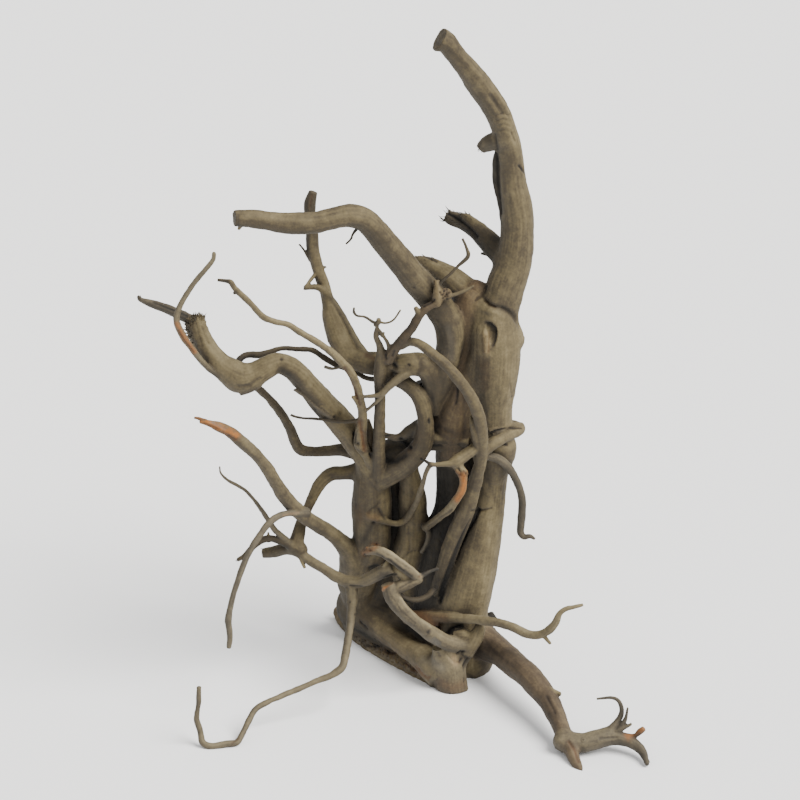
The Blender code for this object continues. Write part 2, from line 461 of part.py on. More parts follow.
def make_ground(collection):
    """Everything below the sawn underside."""
    bpy.ops.mesh.primitive_cube_add(size=GROUND_SIZE, location=(0, 0, -GROUND_SIZE / 2))
    ground = bpy.context.object
    ground.name = "ground"
    collect_cutter(ground, collection)


def make_eye(collection):
    """The oval hollow left by a lost limb."""
    middle, reach = place(*EYE_MIDDLE)
    bpy.ops.mesh.primitive_uv_sphere_add(segments=12, ring_count=8, location=middle)
    eye = bpy.context.object
    eye.name = "eye"
    eye.scale = Vector(EYE_HALF) * MM * reach
    bpy.ops.object.transform_apply(location=False, rotation=False, scale=True)
    collect_cutter(eye, collection)


def collect_cutter(cutter, collection):
    for home in list(cutter.users_collection):
        home.objects.unlink(cutter)
    collection.objects.link(cutter)
    cutter.hide_render = True
    cutter.display_type = "WIRE"


def wood_material():
    material = bpy.data.materials.new("dark_moor_wood")
    material.use_nodes = True
    shader = material.node_tree.nodes["Principled BSDF"]
    shader.inputs["Base Color"].default_value = WOOD_COLOUR
    shader.inputs["Roughness"].default_value = WOOD_ROUGHNESS
    shader.inputs["Metallic"].default_value = 0.0
    return material


def build():
    clear_scene()
    parts = new_collection("moor_root_parts")
    limbs = new_collection("moor_root_limbs")
    cutters = new_collection("moor_root_cutters")

    for group in (TRUNK, UPPER_BRANCHES, MIDDLE_ROOTS, LEFT_BRANCHES, BASE):
        for name, stations in group.items():
            make_limb(name, stations, limbs)
    root = limbs.objects["column"]
    limbs.objects.unlink(root)
    parts.objects.link(root)
    apply_boolean(root, "UNION", limbs)
    for limb in list(limbs.objects):
        bpy.data.objects.remove(limb)

    make_ground(cutters)
    make_eye(cutters)
    apply_boolean(root, "DIFFERENCE", cutters)
    keep_outer_body(root.data)
    root.name = "moor_root"
    root.data.name = "moor_root"
    root.data.materials.clear()
    root.data.materials.append(wood_material())
    root.data.shade_smooth()
    root.data.set_sharp_from_angle(angle=math.radians(45))


build()
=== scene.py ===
import itertools
import math

import bmesh
import bpy
import numpy as np
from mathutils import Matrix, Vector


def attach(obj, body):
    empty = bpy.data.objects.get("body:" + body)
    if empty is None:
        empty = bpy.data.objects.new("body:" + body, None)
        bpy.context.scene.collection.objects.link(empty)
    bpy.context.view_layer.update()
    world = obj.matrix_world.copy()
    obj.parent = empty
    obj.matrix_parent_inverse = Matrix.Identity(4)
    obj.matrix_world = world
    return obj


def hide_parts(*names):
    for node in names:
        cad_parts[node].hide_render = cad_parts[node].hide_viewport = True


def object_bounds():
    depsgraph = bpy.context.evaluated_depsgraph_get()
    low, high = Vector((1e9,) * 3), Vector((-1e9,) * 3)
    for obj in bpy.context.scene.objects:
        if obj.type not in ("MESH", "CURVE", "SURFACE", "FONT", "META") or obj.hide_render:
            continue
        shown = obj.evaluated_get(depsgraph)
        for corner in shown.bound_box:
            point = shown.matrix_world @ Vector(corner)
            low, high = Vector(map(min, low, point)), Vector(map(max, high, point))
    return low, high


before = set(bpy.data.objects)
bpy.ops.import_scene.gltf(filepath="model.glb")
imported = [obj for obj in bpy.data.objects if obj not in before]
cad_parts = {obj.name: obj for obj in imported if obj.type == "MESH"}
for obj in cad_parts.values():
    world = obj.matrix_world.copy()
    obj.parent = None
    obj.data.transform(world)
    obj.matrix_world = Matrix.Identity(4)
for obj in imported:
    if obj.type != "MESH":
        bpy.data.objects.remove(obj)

# The imported model's box
cad_low, cad_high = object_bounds()
cad_low, cad_high = list(cad_low), list(cad_high)

# Trunk
# The upright stem of the root: a broad column, the long limb above it, and the strands of wood that
# grew down its front. Each limb is a list of stations along it, read in millimetres in a plane that
# faces a viewer in front: across, up, back (real depth, minus is nearer) and thickness.
MM = 0.001
VIEW_TILT = math.radians(25.0)
VIEW_DISTANCE = 2.4
BASE_MIDDLE = np.array((0.008, 0.018, -0.1833))
EYE = np.array((0.0, -math.cos(VIEW_TILT), math.sin(VIEW_TILT))) * VIEW_DISTANCE
VIEW_UP = np.array((0.0, math.sin(VIEW_TILT), math.cos(VIEW_TILT)))
THINNEST = 0.0011

TRUNK = {
    "column": [
        (57, 54, 3, 22), (57, 44, 1, 29), (57, 30, 0, 31), (56, 16, 0, 31), (55, 2, 0, 27),
        (55, -12, 0, 25), (55, -28, 0, 25), (55, -42, 1, 20), (54, -56, 2, 19), (51.5, -70, 2, 21),
        (48.2, -85, 2, 24.4), (44.4, -100, 2, 27.6), (40.6, -113, 2, 30), (37, -126, 2, 31),
        (35, -140, 2, 32), (34, -152, 3, 34), (34, -165, 3, 34)],
    "tongue": [
        (47, 24, 1, 14), (42, 11.5, 2, 19), (36.4, -2, 3, 24), (32, -14, 4, 26.5), (31, -24, 6, 21),
        (31, -34, 9, 16)],
    "hollow_wall": [
        (36, -22, 12, 20), (33.5, -34, 13, 24.6), (33, -48, 14, 22.4), (32.2, -62, 15, 22.6),
        (30, -76, 15, 26), (28, -90, 14, 27), (26, -105, 13, 29), (25, -120, 13, 31),
        (24, -134, 14, 34), (24, -150, 16, 36), (24, -160, 16, 36)],
    "upper_limb": [
        (56, 44, 2, 24), (60, 57, 3, 23.5), (64, 70, 5, 23), (67.5, 80, 6, 21),
        (69.5, 90, 7, 20.5), (70.5, 100, 8, 19.5), (70.6, 110, 8, 18.8), (69.3, 120, 8, 18),
        (67.5, 130, 8, 16.5), (66.5, 140, 7, 15.5), (65.5, 150, 6, 15), (63, 160, 4, 14.5),
        (59.5, 170, 2, 14.5), (54, 180, -1, 14.6), (47, 190, -5, 14.6), (39.7, 200, -9, 13),
        (33, 208, -12, 12.4), (28.3, 214.2, -14, 13.2), (23.8, 216.8, -15, 14.6)],
    "limb_strand": [
        (59.5, 150, 6, 4), (58, 142, 7, 5.5), (58.6, 130, 9, 5.5), (61.5, 116, 10, 5.5),
        (63, 104, 10, 5.5), (62, 92, 9, 5), (61, 84, 8, 4)],
    "stub": [(61, 156, 4, 11), (55, 155, 6, 10.5), (50.5, 152.5, 7, 8.5), (47.6, 149.8, 7, 5.5)],
    "knuckle": [
        (54, -20, -2, 12), (60, -27.5, -3, 17.4), (59.6, -35, -3, 16.4), (56, -44, -1, 13)],
    "handle": [
        (1, 33, -16, 6), (6, 35, -19, 5), (12, 33.5, -22, 5.5), (20, 27.2, -26, 6.2),
        (27.5, 21, -29, 6.6), (33.8, 14, -30, 6.8), (39.5, 6.8, -30, 7), (44.2, -1.2, -29, 7.2),
        (47.2, -9.5, -27, 7.4), (48.8, -18, -25, 7.4), (49, -27, -22, 7.6), (48.6, -36, -19, 7.4),
        (46, -46, -16, 8.6), (43, -56, -13, 9.6), (39.5, -66, -11, 11), (35.5, -76, -9, 11),
        (31.5, -86, -7, 10.5), (28, -96, -5, 10), (25, -106, -3, 9), (22, -116, 0, 8)],
    "wrap": [
        (50, -30, -19, 8), (55, -26.3, -17, 8), (61, -22.6, -12, 8), (67, -19.6, -4, 7.8),
        (71.6, -17.2, 4, 7.2), (69.5, -15.4, 12, 6), (62, -13, 15, 6)],
    "link": [
        (16, -22.6, -4, 7.4), (24, -23.2, -4, 7), (32, -23.6, -3, 7), (41, -25, -3, 7.4)],
    "drooping": [
        (52, -33.5, -17, 5), (58, -35, -16, 5.4), (63, -38.5, -14, 5.2), (67.5, -44, -12, 4.8),
        (71, -51, -10, 4.6), (73, -58, -9, 4.5), (73.3, -66, -9, 4.5), (72.6, -74, -10, 4.7),
        (72.3, -79.5, -11, 4.4), (74.5, -82, -12, 3.4), (78, -81.8, -13, 2.8), (81, -83.5, -13, 1.6)],
    "rear_wall": [
        (46, 66, 8, 12), (41, 57, 6, 17), (39.5, 44, 4, 14), (38, 28, 4, 12), (35, 12, 5, 13),
        (29, -4, 9, 12), (27, -18, 11, 12)],
    "link_wall": [
        (10, -25.5, 0, 9), (19, -26.2, 0, 8.4), (28, -26.4, 0, 8.4), (37, -27, 1, 8.6), (44, -28, 3, 9)],
    "handle_strand": [
        (42.2, -9.5, -23, 1.2), (43.6, -14, -25, 4), (45.4, -22, -25, 5), (46.6, -30, -22, 5),
        (46.8, -38, -19, 5)],
    "wrap_top": [
        (53.5, -19, -13, 2.6), (59, -17, -11, 3.2), (64.5, -15.5, -6, 3.6), (69.5, -15, 0, 4),
        (72.5, -15.6, 6, 4.4)],
}

# tone is how light the wood is (several values where it changes along the limb), warmth how
# red-brown, bleach_and_shade_grey how grey and weathered (painted shade grey is added to it on
# undersides later), fillet how softly a limb grows out of the next one, ribs how strong its grain
# stands out, and broken how deep its torn end is, in millimetres
TRUNK_LOOKS = {
    "tongue": {"tone": (0.50, 0.44, 0.48, 0.5), "warmth": 0.05},
    # The hollow wall's dark tone is partly the wood's own colour and partly painted shade inside the trunk
    "hollow_wall": {"tone": 0.21, "fillet": 0.25},
    "upper_limb": {"tone": (0.53, 0.52, 0.53, 0.54, 0.47, 0.49), "ribs": 1.2},
    "limb_strand": {"tone": 0.28, "fillet": 0.3},
    "stub": {"tone": 0.44, "bleach_and_shade_grey": 0.1, "broken": 2.0},
    "knuckle": {"tone": 0.49},
    "handle": {"tone": (0.50, 0.46, 0.56, 0.54, 0.40), "fillet": 0.22},
    "wrap": {"tone": 0.52, "fillet": 0.25},
    "link": {"tone": 0.52, "fillet": 0.3},
    "drooping": {"tone": (0.43, 0.38, 0.41), "bleach_and_shade_grey": 0.12, "fillet": 0.3},
    "rear_wall": {"tone": (0.40, 0.42, 0.40), "warmth": 0.10},
    "link_wall": {"tone": 0.40, "fillet": 0.25},
    "handle_strand": {"tone": 0.56, "fillet": 0.2},
    "wrap_top": {"tone": 0.56, "fillet": 0.2},
}

limbs = []
marks = []


def place(stations):
    """Real points of some stations, in metres, with their real radius as a fourth column."""
    across, up, back, thickness = np.array(stations, float).T
    seen = across[:, None] * MM * np.array((1.0, 0.0, 0.0)) + up[:, None] * MM * VIEW_UP
    reach = (back * MM - EYE[1]) / (seen[:, 1] - EYE[1])
    points = EYE + (seen - EYE) * reach[:, None] - BASE_MIDDLE
    radius = np.maximum(thickness * MM, THINNEST) * reach / 2
    return np.column_stack((points, radius))


def smooth_path(points, parts=8):
    """A Catmull-Rom curve through the points."""
    ends = np.vstack((points[0] * 2 - points[1], points, points[-1] * 2 - points[-2]))
    path = []
    for a, b, c, d in zip(ends, ends[1:], ends[2:], ends[3:]):
        for t in np.arange(parts) / parts:
            path.append((b * 2 + (c - a) * t + (a * 2 - b * 5 + c * 4 - d) * t ** 2
                         + (b * 3 - a - c * 3 + d) * t ** 3) / 2)
    path.append(points[-1])
    return np.array(path)


def side_vectors(spine):
    """Two directions square to the spine at each point, carried along it without twisting."""
    ahead = np.gradient(spine, axis=0)
    ahead /= np.linalg.norm(ahead, axis=1)[:, None]
    side = np.cross(ahead[0], (0.31, 0.17, 0.93))
    first = []
    for heading in ahead:
        side = side - heading * (side @ heading)
        side = side / np.linalg.norm(side)
        first.append(side)
    first = np.array(first)
    return ahead, first, np.cross(ahead, first)


def grow(name, stations, tone=0.58, warmth=0.0, bleach_and_shade_grey=0.0, fillet=0.5, ribs=1.0, broken=0.0):
    path = smooth_path(place(stations))
    spine, radius = path[:, :3], path[:, 3]
    ahead, side, other = side_vectors(spine)
    steps = np.linalg.norm(np.diff(spine, axis=0), axis=1)
    limbs.append({
        "name": name, "spine": spine, "radius": radius, "ahead": ahead, "side": side,
        "other": other, "along": np.concatenate(([0.0], steps.cumsum())),
        "low": (spine - radius[:, None]).min(0), "high": (spine + radius[:, None]).max(0),
        "tone": np.interp(np.linspace(0, 1, len(spine)), np.linspace(0, 1, np.size(tone)),
                          np.ravel(tone)),
        "warmth": warmth, "bleach_and_shade_grey": bleach_and_shade_grey, "fillet": fillet, "ribs": ribs, "broken": broken * MM})


def mark(owners, line, width, depth=0.0, tone=0.0, warmth=0.0, bleach_and_shade_grey=0.0, ragged=0.0, rings=0.0):
    """A crease (or with a depth below 0 a ridge), knot or stain on the named limbs, drawn along a
    line of places across and up, in millimetres; rings makes it a set of ripples. A crease, crack
    or pit that is made darker is darkened with painted shade; a stain's tone and warmth are the wood's own
    colour."""
    marks.append({
        "owners": owners.split(), "line": np.array(line, float), "width": width, "depth": depth,
        "tone": tone, "warmth": warmth, "bleach_and_shade_grey": bleach_and_shade_grey, "ragged": ragged, "rings": rings})


for name, stations in TRUNK.items():
    grow(name, stations, **TRUNK_LOOKS.get(name, {}))

# The fold where the upper limb sits on the column, and a small one beside it
mark("column upper_limb knuckle short_limb", [(50, 60.5), (53, 57.5), (57, 55.8), (61, 55), (65, 53),
     (68.5, 50), (71.5, 45)], 1.3, 1.6, tone=-0.10)
mark("column upper_limb short_limb", [(50.5, 60), (53, 57.6), (57, 55.9)], 0.7, 0.9, tone=-0.16, warmth=0.1)
mark("column upper_limb", [(62, 54.5), (67, 51.5), (71, 46)], 2.6, 0.5, tone=-0.12)
mark("column upper_limb short_limb", [(46, 57), (51, 53.6), (57, 52), (61.5, 50)], 1.8, -0.5, tone=0.04)
mark("column upper_limb short_limb", [(44.5, 59.3), (48, 62), (50.3, 65), (51.5, 68)], 0.8, 0.9, tone=-0.2)
# The healed knot: painted shade just inside its rim and in the top right of its hole, the wood that grew over
# it, and the grain round it
mark("column", [(51.4, 46.2), (54.4, 45.6), (56.6, 43.2), (57.4, 39.6), (56.9, 36), (55.8, 32.6)], 1.0, 0.9,
     tone=-0.34)
mark("column", [(54, 44.4), (56, 41.8)], 1.6, 1.2, tone=-0.22)
mark("column", [(51.2, 39), (51.6, 29)], 2.4, -1.6, tone=0.04, warmth=0.05)
mark("column", [(53.2, 41), (53.3, 29)], 0.5, 0.45, tone=-0.12, warmth=0.1)
mark("column", [(55.2, 39), (54.6, 30)], 0.5, 0.45, tone=-0.12)
mark("column", [(47, 44), (46.8, 36), (47.6, 28), (50, 25.3), (54, 26.5)], 1.2, -0.5, tone=0.03)
mark("column", [(50, 23), (51, 15), (51, 8)], 3.2, 0.3, tone=-0.10, warmth=0.05)
# Painted shade down the left side of the column, beside the tongue
mark("column tongue", [(45.5, 22), (47.5, 8), (49, -8)], 3.5, 0.2, tone=-0.07)
mark("column", [(66, 10), (66.6, 2)], 0.5, 0.2, tone=-0.1)
# Folds of the upper limb
mark("upper_limb", [(55.5, 182), (58.5, 177), (62, 172.3)], 1.5, 0.9, tone=-0.12)
mark("upper_limb", [(58, 184), (62.5, 178), (64.8, 173)], 1.6, -0.4, tone=0.03)
mark("upper_limb", [(57.5, 170.4), (61.5, 171.6), (65.6, 171)], 0.6, 0.45, tone=-0.08)
mark("upper_limb", [(57.8, 167.4), (62, 168.4), (65.8, 167.4)], 0.6, 0.35, tone=-0.06)
mark("upper_limb", [(59, 164.5), (62.5, 165.3), (66, 164.4)], 0.6, 0.3, tone=-0.06)
mark("upper_limb", [(58.5, 161.3), (62.5, 162), (66.5, 161)], 0.6, 0.3, tone=-0.05)
mark("upper_limb", [(71.6, 140.4), (73, 138.6), (75.4, 135.4)], 0.6, 0.8, tone=-0.40)
mark("upper_limb", [(66.8, 160.5), (68.8, 155.5)], 0.5, 0.4, tone=-0.2)
mark("upper_limb limb_strand stub", [(57, 159.5), (58.3, 151), (58.9, 137), (60, 124), (61, 112)], 0.8, 0.7,
     tone=-0.22)
mark("upper_limb", [(22, 214), (30, 209.5), (38, 201), (46, 192)], 1.2, 0.25, tone=-0.08)
# Cracks of the lower column, and the crevice beside the handle
mark("knuckle column", [(60.6, -25), (62, -26.6), (64, -27)], 0.7, 1.1, tone=-0.40)
mark("column handle", [(43, -66.5), (47, -66.6), (51, -66), (55, -65)], 0.7, 0.8, tone=-0.22)
mark("column handle", [(46.5, -66), (44, -72), (39.5, -79), (35, -88), (30.5, -99), (26.5, -110),
     (23.5, -121)], 1.3, 1.9, tone=-0.40)
mark("column", [(52, -48), (55, -56), (58, -63)], 1.6, 0.5, tone=-0.07)
mark("tongue", [(34.4, 9), (34.2, 3), (33.2, -2.5)], 0.8, 1.0, tone=-0.32)
mark("tongue", [(38, 8), (38.3, -8), (38.6, -23)], 1.4, 0.6, tone=-0.10)
mark("tongue link", [(23, -16), (26, -18), (31, -20.5)], 1.6, 0.5, tone=-0.10, ragged=0.8)
# Painted shade along the underside of the link
mark("link link_wall", [(16, -26), (28, -26.6), (42, -28)], 1.6, 0.3, tone=-0.16)
mark("wrap wrap_top", [(52.5, -20.6), (57, -18.6), (61.5, -17.6), (66, -17), (73, -17)],
     0.45, 0.9, tone=-0.35)
mark("hollow_wall", [(24, -50), (27, -70), (27, -95)], 3.0, 0.8, tone=-0.06, ragged=1.2)

# A knot on the right of the column, and the rim of the hole that its branch left
SIDE_KNOT = [(64, 37, 0, 13), (69, 36.8, 0, 12), (72.8, 36, 0, 8), (74.6, 35.8, 0, 4)]
grow("side_knot", SIDE_KNOT, tone=0.62, fillet=1.0)
EYE_MIDDLE = (54.3, 40.2, -17.0)
EYE_HALF = (4.4, 7.4, 9.6)

# Upper branches
# The long level branch that was sawn off at its left end, the broken fork, and the branch that
# rises behind them, with their own small twigs. They are the same wood as the trunk.
UPPER_BRANCHES = {
    "broken_fork": [
        (65, 83, 8, 14.5), (58, 90.5, 16, 13.8), (51, 97.6, 24, 12.8), (44, 103, 31, 11.2),
        (37, 106.8, 37, 9.2), (31, 109, 41, 8.4), (27, 111.5, 43, 6)],
    "fork_prong": [(48, 102.5, 28, 7), (41, 109, 33, 5), (36, 111, 36, 3)],
    "fork_spur": [(56, 87, 17, 3), (48.5, 88, 20, 1.2)],
    "short_limb": [
        (52, 50, 5, 20), (46, 59, 9, 20), (37.6, 66, 13, 18), (29, 73.2, 18, 16), (20, 79, 23, 11.6),
        (13, 83, 27, 7), (7.6, 84.6, 31, 3.4), (4, 85, 33, 2)],
    "long_branch": [
        (20, -10, 4, 7), (22.5, 0, 1, 9.5), (25.5, 12, -2, 12.5), (28.2, 24, -3, 14.6),
        (30.2, 36, -3, 16.8), (29.2, 46, -3, 18), (24, 55, -4, 18), (17.4, 63.2, -6, 17.4),
        (9.8, 72, -9, 17), (1.8, 81.6, -12, 15.8), (-6.6, 91.8, -16, 15), (-14, 101, -19, 14.5),
        (-21, 108, -22, 14), (-30, 110.5, -25, 13.5), (-40, 109, -28, 13), (-50, 106.7, -30, 13),
        (-60, 106, -32, 13.3), (-70, 106.3, -34, 12.3), (-80, 107.5, -36, 11.5), (-90, 108.8, -38, 11),
        (-99.5, 108.8, -40, 9.5)],
    "long_branch_twig": [(-24, 105, -23, 2.4), (-28, 100, -25, 1.4), (-29.5, 96.5, -26, 1.2),
                         (-32.5, 93.5, -27, 1.2)],
    "long_branch_spur": [(-95, 106, -39, 3.4), (-97, 102, -39, 1.8)],
    "rear_branch": [
        (2, 21, -2, 12), (-6, 21.5, -1, 14), (-14, 21.8, 1, 14), (-22, 23, 3, 12.8), (-30, 26.6, 6, 13),
        (-35, 34, 9, 13), (-38.4, 42, 12, 12.2), (-41.4, 50, 15, 10.8), (-43, 58, 18, 8),
        (-45.5, 68, 21, 7.4), (-48.3, 76, 23, 7.2), (-50.7, 84, 25, 7.6), (-52.6, 92, 27, 7.6),
        (-52.8, 100, 28, 7.2), (-54, 110, 30, 7), (-54, 118, 31, 7), (-52, 125, 32, 5)],
    "rear_strand": [
        (-42.5, 62, 18, 4.6), (-36, 52, 16, 5), (-30.4, 42, 13, 5), (-25.4, 33, 9, 5),
        (-20, 27, 5, 4)],
    "rear_twig": [(-54, 84, 25, 2), (-58, 90.5, 24, 1.2), (-60.5, 93.5, 23, 1.2)],
    "rear_spur": [(-48.5, 78.5, 24, 2.6), (-44.3, 80, 23, 1.3)],
    "rear_stub": [(-43, 61.5, 18, 4.8), (-48, 67, 16, 4), (-53, 67.8, 14, 3.5),
                  (-58, 67.3, 12, 3.2)],
    "rear_strut": [(-49.5, 77, 22.5, 2.6), (-54, 71.5, 17, 2.2), (-56.5, 68, 12.8, 2)],
}

UPPER_LOOKS = {
    "broken_fork": {"tone": (0.28, 0.34, 0.42), "broken": 4.0, "ribs": 1.5},
    "fork_prong": {"tone": 0.54, "broken": 2.0},
    "fork_spur": {"tone": 0.3},
    "short_limb": {"tone": (0.58, 0.56, 0.52), "broken": 1.0, "ribs": 1.4},
    "long_branch": {"tone": (0.44, 0.48, 0.50, 0.48), "ribs": 1.0},
    "long_branch_twig": {"tone": 0.26},
    "rear_branch": {"tone": (0.50, 0.54, 0.56, 0.56, 0.46, 0.42)},
    "rear_strand": {"tone": (0.38, 0.55, 0.60), "bleach_and_shade_grey": 0.08, "fillet": 0.25},
    "rear_twig": {"tone": 0.31},
    "rear_stub": {"tone": 0.50, "broken": 0.8},
    "rear_strut": {"tone": 0.53},
}
for name, stations in UPPER_BRANCHES.items():
    grow(name, stations, **UPPER_LOOKS.get(name, {}))

# The split of the fork; small pits and stains, a greyer streak, a darker band along the left edge and a
# lighter one along the right edge of the long branch
mark("broken_fork fork_prong", [(29, 112), (34, 109), (40, 104.5), (46, 98)], 1.0, 1.8, tone=-0.25)
mark("broken_fork fork_prong", [(27, 110), (31, 106.5), (36, 104)], 0.7, 0.6, tone=0.10)
mark("long_branch", [(36, 57), (36.6, 54.6)], 0.6, 0.7, tone=-0.35)
mark("long_branch", [(29, 43), (31, 34), (31, 25)], 2.5, 0.3, tone=-0.05, bleach_and_shade_grey=0.15)
mark("long_branch", [(22, 58), (25, 46), (24, 30)], 4.0, tone=-0.06)
mark("long_branch", [(36, 44), (36.2, 36), (34, 22)], 1.6, tone=0.10)
mark("long_branch", [(8, 67.5), (9, 67)], 0.6, 0.4, tone=-0.2)
mark("short_limb", [(12, 87.4), (17, 85.6), (22, 83)], 0.7, 0.7, tone=-0.30)
mark("long_branch", [(-97, 111), (-97.5, 107), (-97, 104)], 1.2, 0.3, tone=-0.12)
mark("rear_branch", [(-20, 27), (-16, 25)], 1.5, 0.3, tone=-0.12, warmth=0.1)
mark("rear_branch", [(-53, 123), (-54, 116)], 0.7, 0.4, tone=-0.12, warmth=0.1)

# Middle roots
# The knob and its curl round an open gap, the two stems below them, and the knotty, forked and
# orange rootlets that cross in front. Thin rootlets are a few millimetres thick.
MIDDLE_ROOTS = {
    "knob": [
        (-4, 22, -8, 9), (0, 21.5, -8, 12.5), (6, 21.5, -7, 14), (12, 21.3, -5, 14.5),
        (17, 17.5, -4, 13), (19.5, 9, -3, 11), (20.5, 0, -2, 9), (20.5, -8, -1, 7)],
    "curl": [
        (-4.5, 14, -3, 8), (-0.5, 12, -4, 9), (4, 9.5, -4, 9), (10, 4, -6, 9.4), (14, -4, -8, 9.8),
        (15.5, -14, -9, 10), (14.3, -24, -8, 12), (9.8, -32, -6, 13.6), (3, -38.5, -3, 14),
        (-5, -43, 1, 15), (-13, -46, 5, 16)],
    "curl_web": [(13, -15, -5, 9), (6, -19, -4, 8), (-1, -22.5, -4, 4.5), (-9, -21, -6, 3.2),
                 (-13, -19, -6, 3)],
    "curl_back": [(17, -24, 6, 12), (8, -29, 8, 16), (-3, -31, 9, 17), (-13, -35.5, 9, 18)],
    "left_stem": [
        (-16, -30, 8, 12), (-17, -42, 9, 19), (-17, -52, 10, 22.5), (-17, -64, 13, 24),
        (-17, -76, 17, 23.5), (-18, -88, 22, 22.5), (-22, -99, 28, 22.5), (-26, -109, 33, 23.5),
        (-24.6, -118, 38, 21), (-25, -126, 42, 22), (-22.5, -137, 47, 18)],
    "middle_stem": [
        (5, -40, 8, 12), (6.6, -50, 12, 13.6), (7.6, -60, 15, 16.8), (8, -70, 17, 17),
        (7.6, -80, 19, 17.4), (5.6, -90, 21, 19), (4.6, -100, 23, 19), (6, -112, 25, 19),
        (8, -125, 26, 22), (10, -138, 26, 26), (10, -150, 26, 28)],
    "thin_stem": [
        (-13, -44, 0, 9.4), (-12.8, -34, -4, 8), (-12.6, -22, -6, 7.6), (-12.2, -10, -8, 7.2),
        (-11.9, 2, -9, 6.8), (-12, 12, -10, 7.4), (-11.5, 20, -11, 8), (-11.2, 27, -12, 6.5),
        (-12.2, 33, -15, 4.2), (-14.4, 38, -18, 3.2), (-13.9, 43, -20, 2.6),
        (-12.9, 48.5, -22, 2.4)],
    "antler_left": [
        (-13.3, 46, -21, 2.4), (-16, 46.7, -22, 1.9), (-21, 49.8, -25, 1.5), (-25.5, 50.5, -28, 1.4),
        (-27.6, 52.6, -29, 1.6), (-27.6, 55.4, -30, 1.3)],
    "antler_right": [
        (-13.3, 47, -21.6, 1.8), (-8.3, 46.2, -24, 1.5), (-3.8, 48.2, -26, 1.3),
        (0.3, 54, -28, 1.2)],
    "antler_stem": [
        (-6.5, 26, -13, 3.2), (-7, 33, -16, 2.6), (-9.5, 37.6, -18, 2), (-10.8, 39.2, -18.6, 2.6),
        (-11.4, 40.6, -19, 1.8), (-13.6, 43, -20, 1.8)],
    "pale_fork": [(4, 16.5, -11, 6.5), (-2, 12, -14, 5.4), (-8, 6.8, -15, 4.6),
                  (-12, 3.4, -15, 3.6), (-16.5, 2.4, -15, 2.4), (-22.5, 2, -14, 2.2)],
    "pale_fork_twig": [(-8, 6.3, -15, 3.2), (-13.5, -0.5, -14.5, 2.4), (-20.5, -6.5, -12, 1.9)],
    "knotty_root": [
        (-7, 25, -12, 8), (-3, 31, -16, 6.8), (2.5, 37.5, -19, 5.8), (7.5, 43.5, -20, 5.2),
        (11, 50, -20, 5.4), (15, 54.5, -19, 5.2), (20, 57.5, -17, 5), (24, 60, -14, 5)],
    "knotty_knob": [(11.5, 51.5, -20, 4), (9.3, 55.5, -21, 2.8)],
    "knotty_end": [(22.3, 58, -16.5, 5), (22.4, 62, -17, 5.4), (22.5, 67, -16, 4.8),
                   (22, 72.5, -14, 3)],
    "knotty_node": [(22, 62, -15, 6), (26.5, 63.5, -14, 7.5), (29.5, 63, -12, 6)],
    "tall_twig": [(23, 66, -16, 3), (25, 71, -16, 1.9), (29.5, 75, -16, 1.8), (35, 80.5, -16, 1.9),
                  (40.7, 86, -17, 2.4), (40, 91, -16, 1.7), (37.4, 97, -14, 1.2)],
    "flat_twig": [(27, 62, -15, 3.4), (33, 63.3, -14, 2.4), (39, 65.8, -13, 2.1),
                  (44.3, 68.6, -12, 1.2)],
    "node_root": [
        (47, -27.5, -21, 6.5), (42, -31, -24, 7), (37, -34.6, -27, 7.4), (33.6, -36.9, -29, 7.6),
        (30.4, -38, -30.5, 4.6), (27, -38.4, -31, 3), (22, -38.7, -31, 2.5), (18.4, -39, -31, 2.9),
        (16, -42.6, -29, 2.9), (14.3, -48, -26, 3), (12.5, -54, -20, 3.2), (10.5, -60, -11, 3.4),
        (7.5, -66, 0, 3.8), (4, -71, 6, 4), (-0.5, -73.8, 6.5, 4), (-6, -73.5, 5.5, 4), (-12, -71, 4, 5),
        (-18, -70, 4, 6)],
    "orange_root": [
        (33.8, -37.5, -28.5, 7.4), (35.6, -41, -29, 6.2), (37.3, -44, -29.5, 6.2), (38, -48.6, -29, 4.6),
        (36.9, -54.5, -27, 4.8), (33.5, -60, -23, 5), (29.5, -65.5, -17, 5), (24.5, -69.5, -9, 4.8),
        (19.5, -73.5, 1, 4.6), (15, -76.6, 10, 5)],
    "stem_wall": [
        (-6, -46, 24, 14), (-3, -60, 26, 14), (-2, -76, 30, 14), (-4, -92, 34, 17),
        (-9, -107, 37, 20), (-14, -118, 40, 22)],
    "knob_wall": [
        (11, 10.6, 4, 6), (14, 3, 4, 9), (17, -6, 4, 9), (18, -18, 4, 8)],
    "left_wall": [(-19.5, -12, 1, 3), (-18.5, -20, 2, 7), (-18, -30, 4, 9)],
    "node_spur": [
        (18.5, -38.8, -31, 2.6), (15.6, -36.8, -30, 1.8), (12.6, -35.2, -26, 2.2)],
    "knob_neck": [
        (-8.4, 27, -9, 6), (-8.2, 20, -8, 8), (-7.2, 13.5, -7, 6), (-7, 8, -7, 3)],
    "antler_spur": [
        (-10.6, 38.4, -18.6, 1.6), (-9.6, 40.6, -20, 1.2)],
    "antler_tip": [
        (-12.9, 46.5, -21.5, 3), (-12.7, 48.6, -22, 2.8)],
    "stem_spur": [
        (-13.9, 44.4, -20.5, 2), (-15.6, 45, -21.5, 1.4)],
}

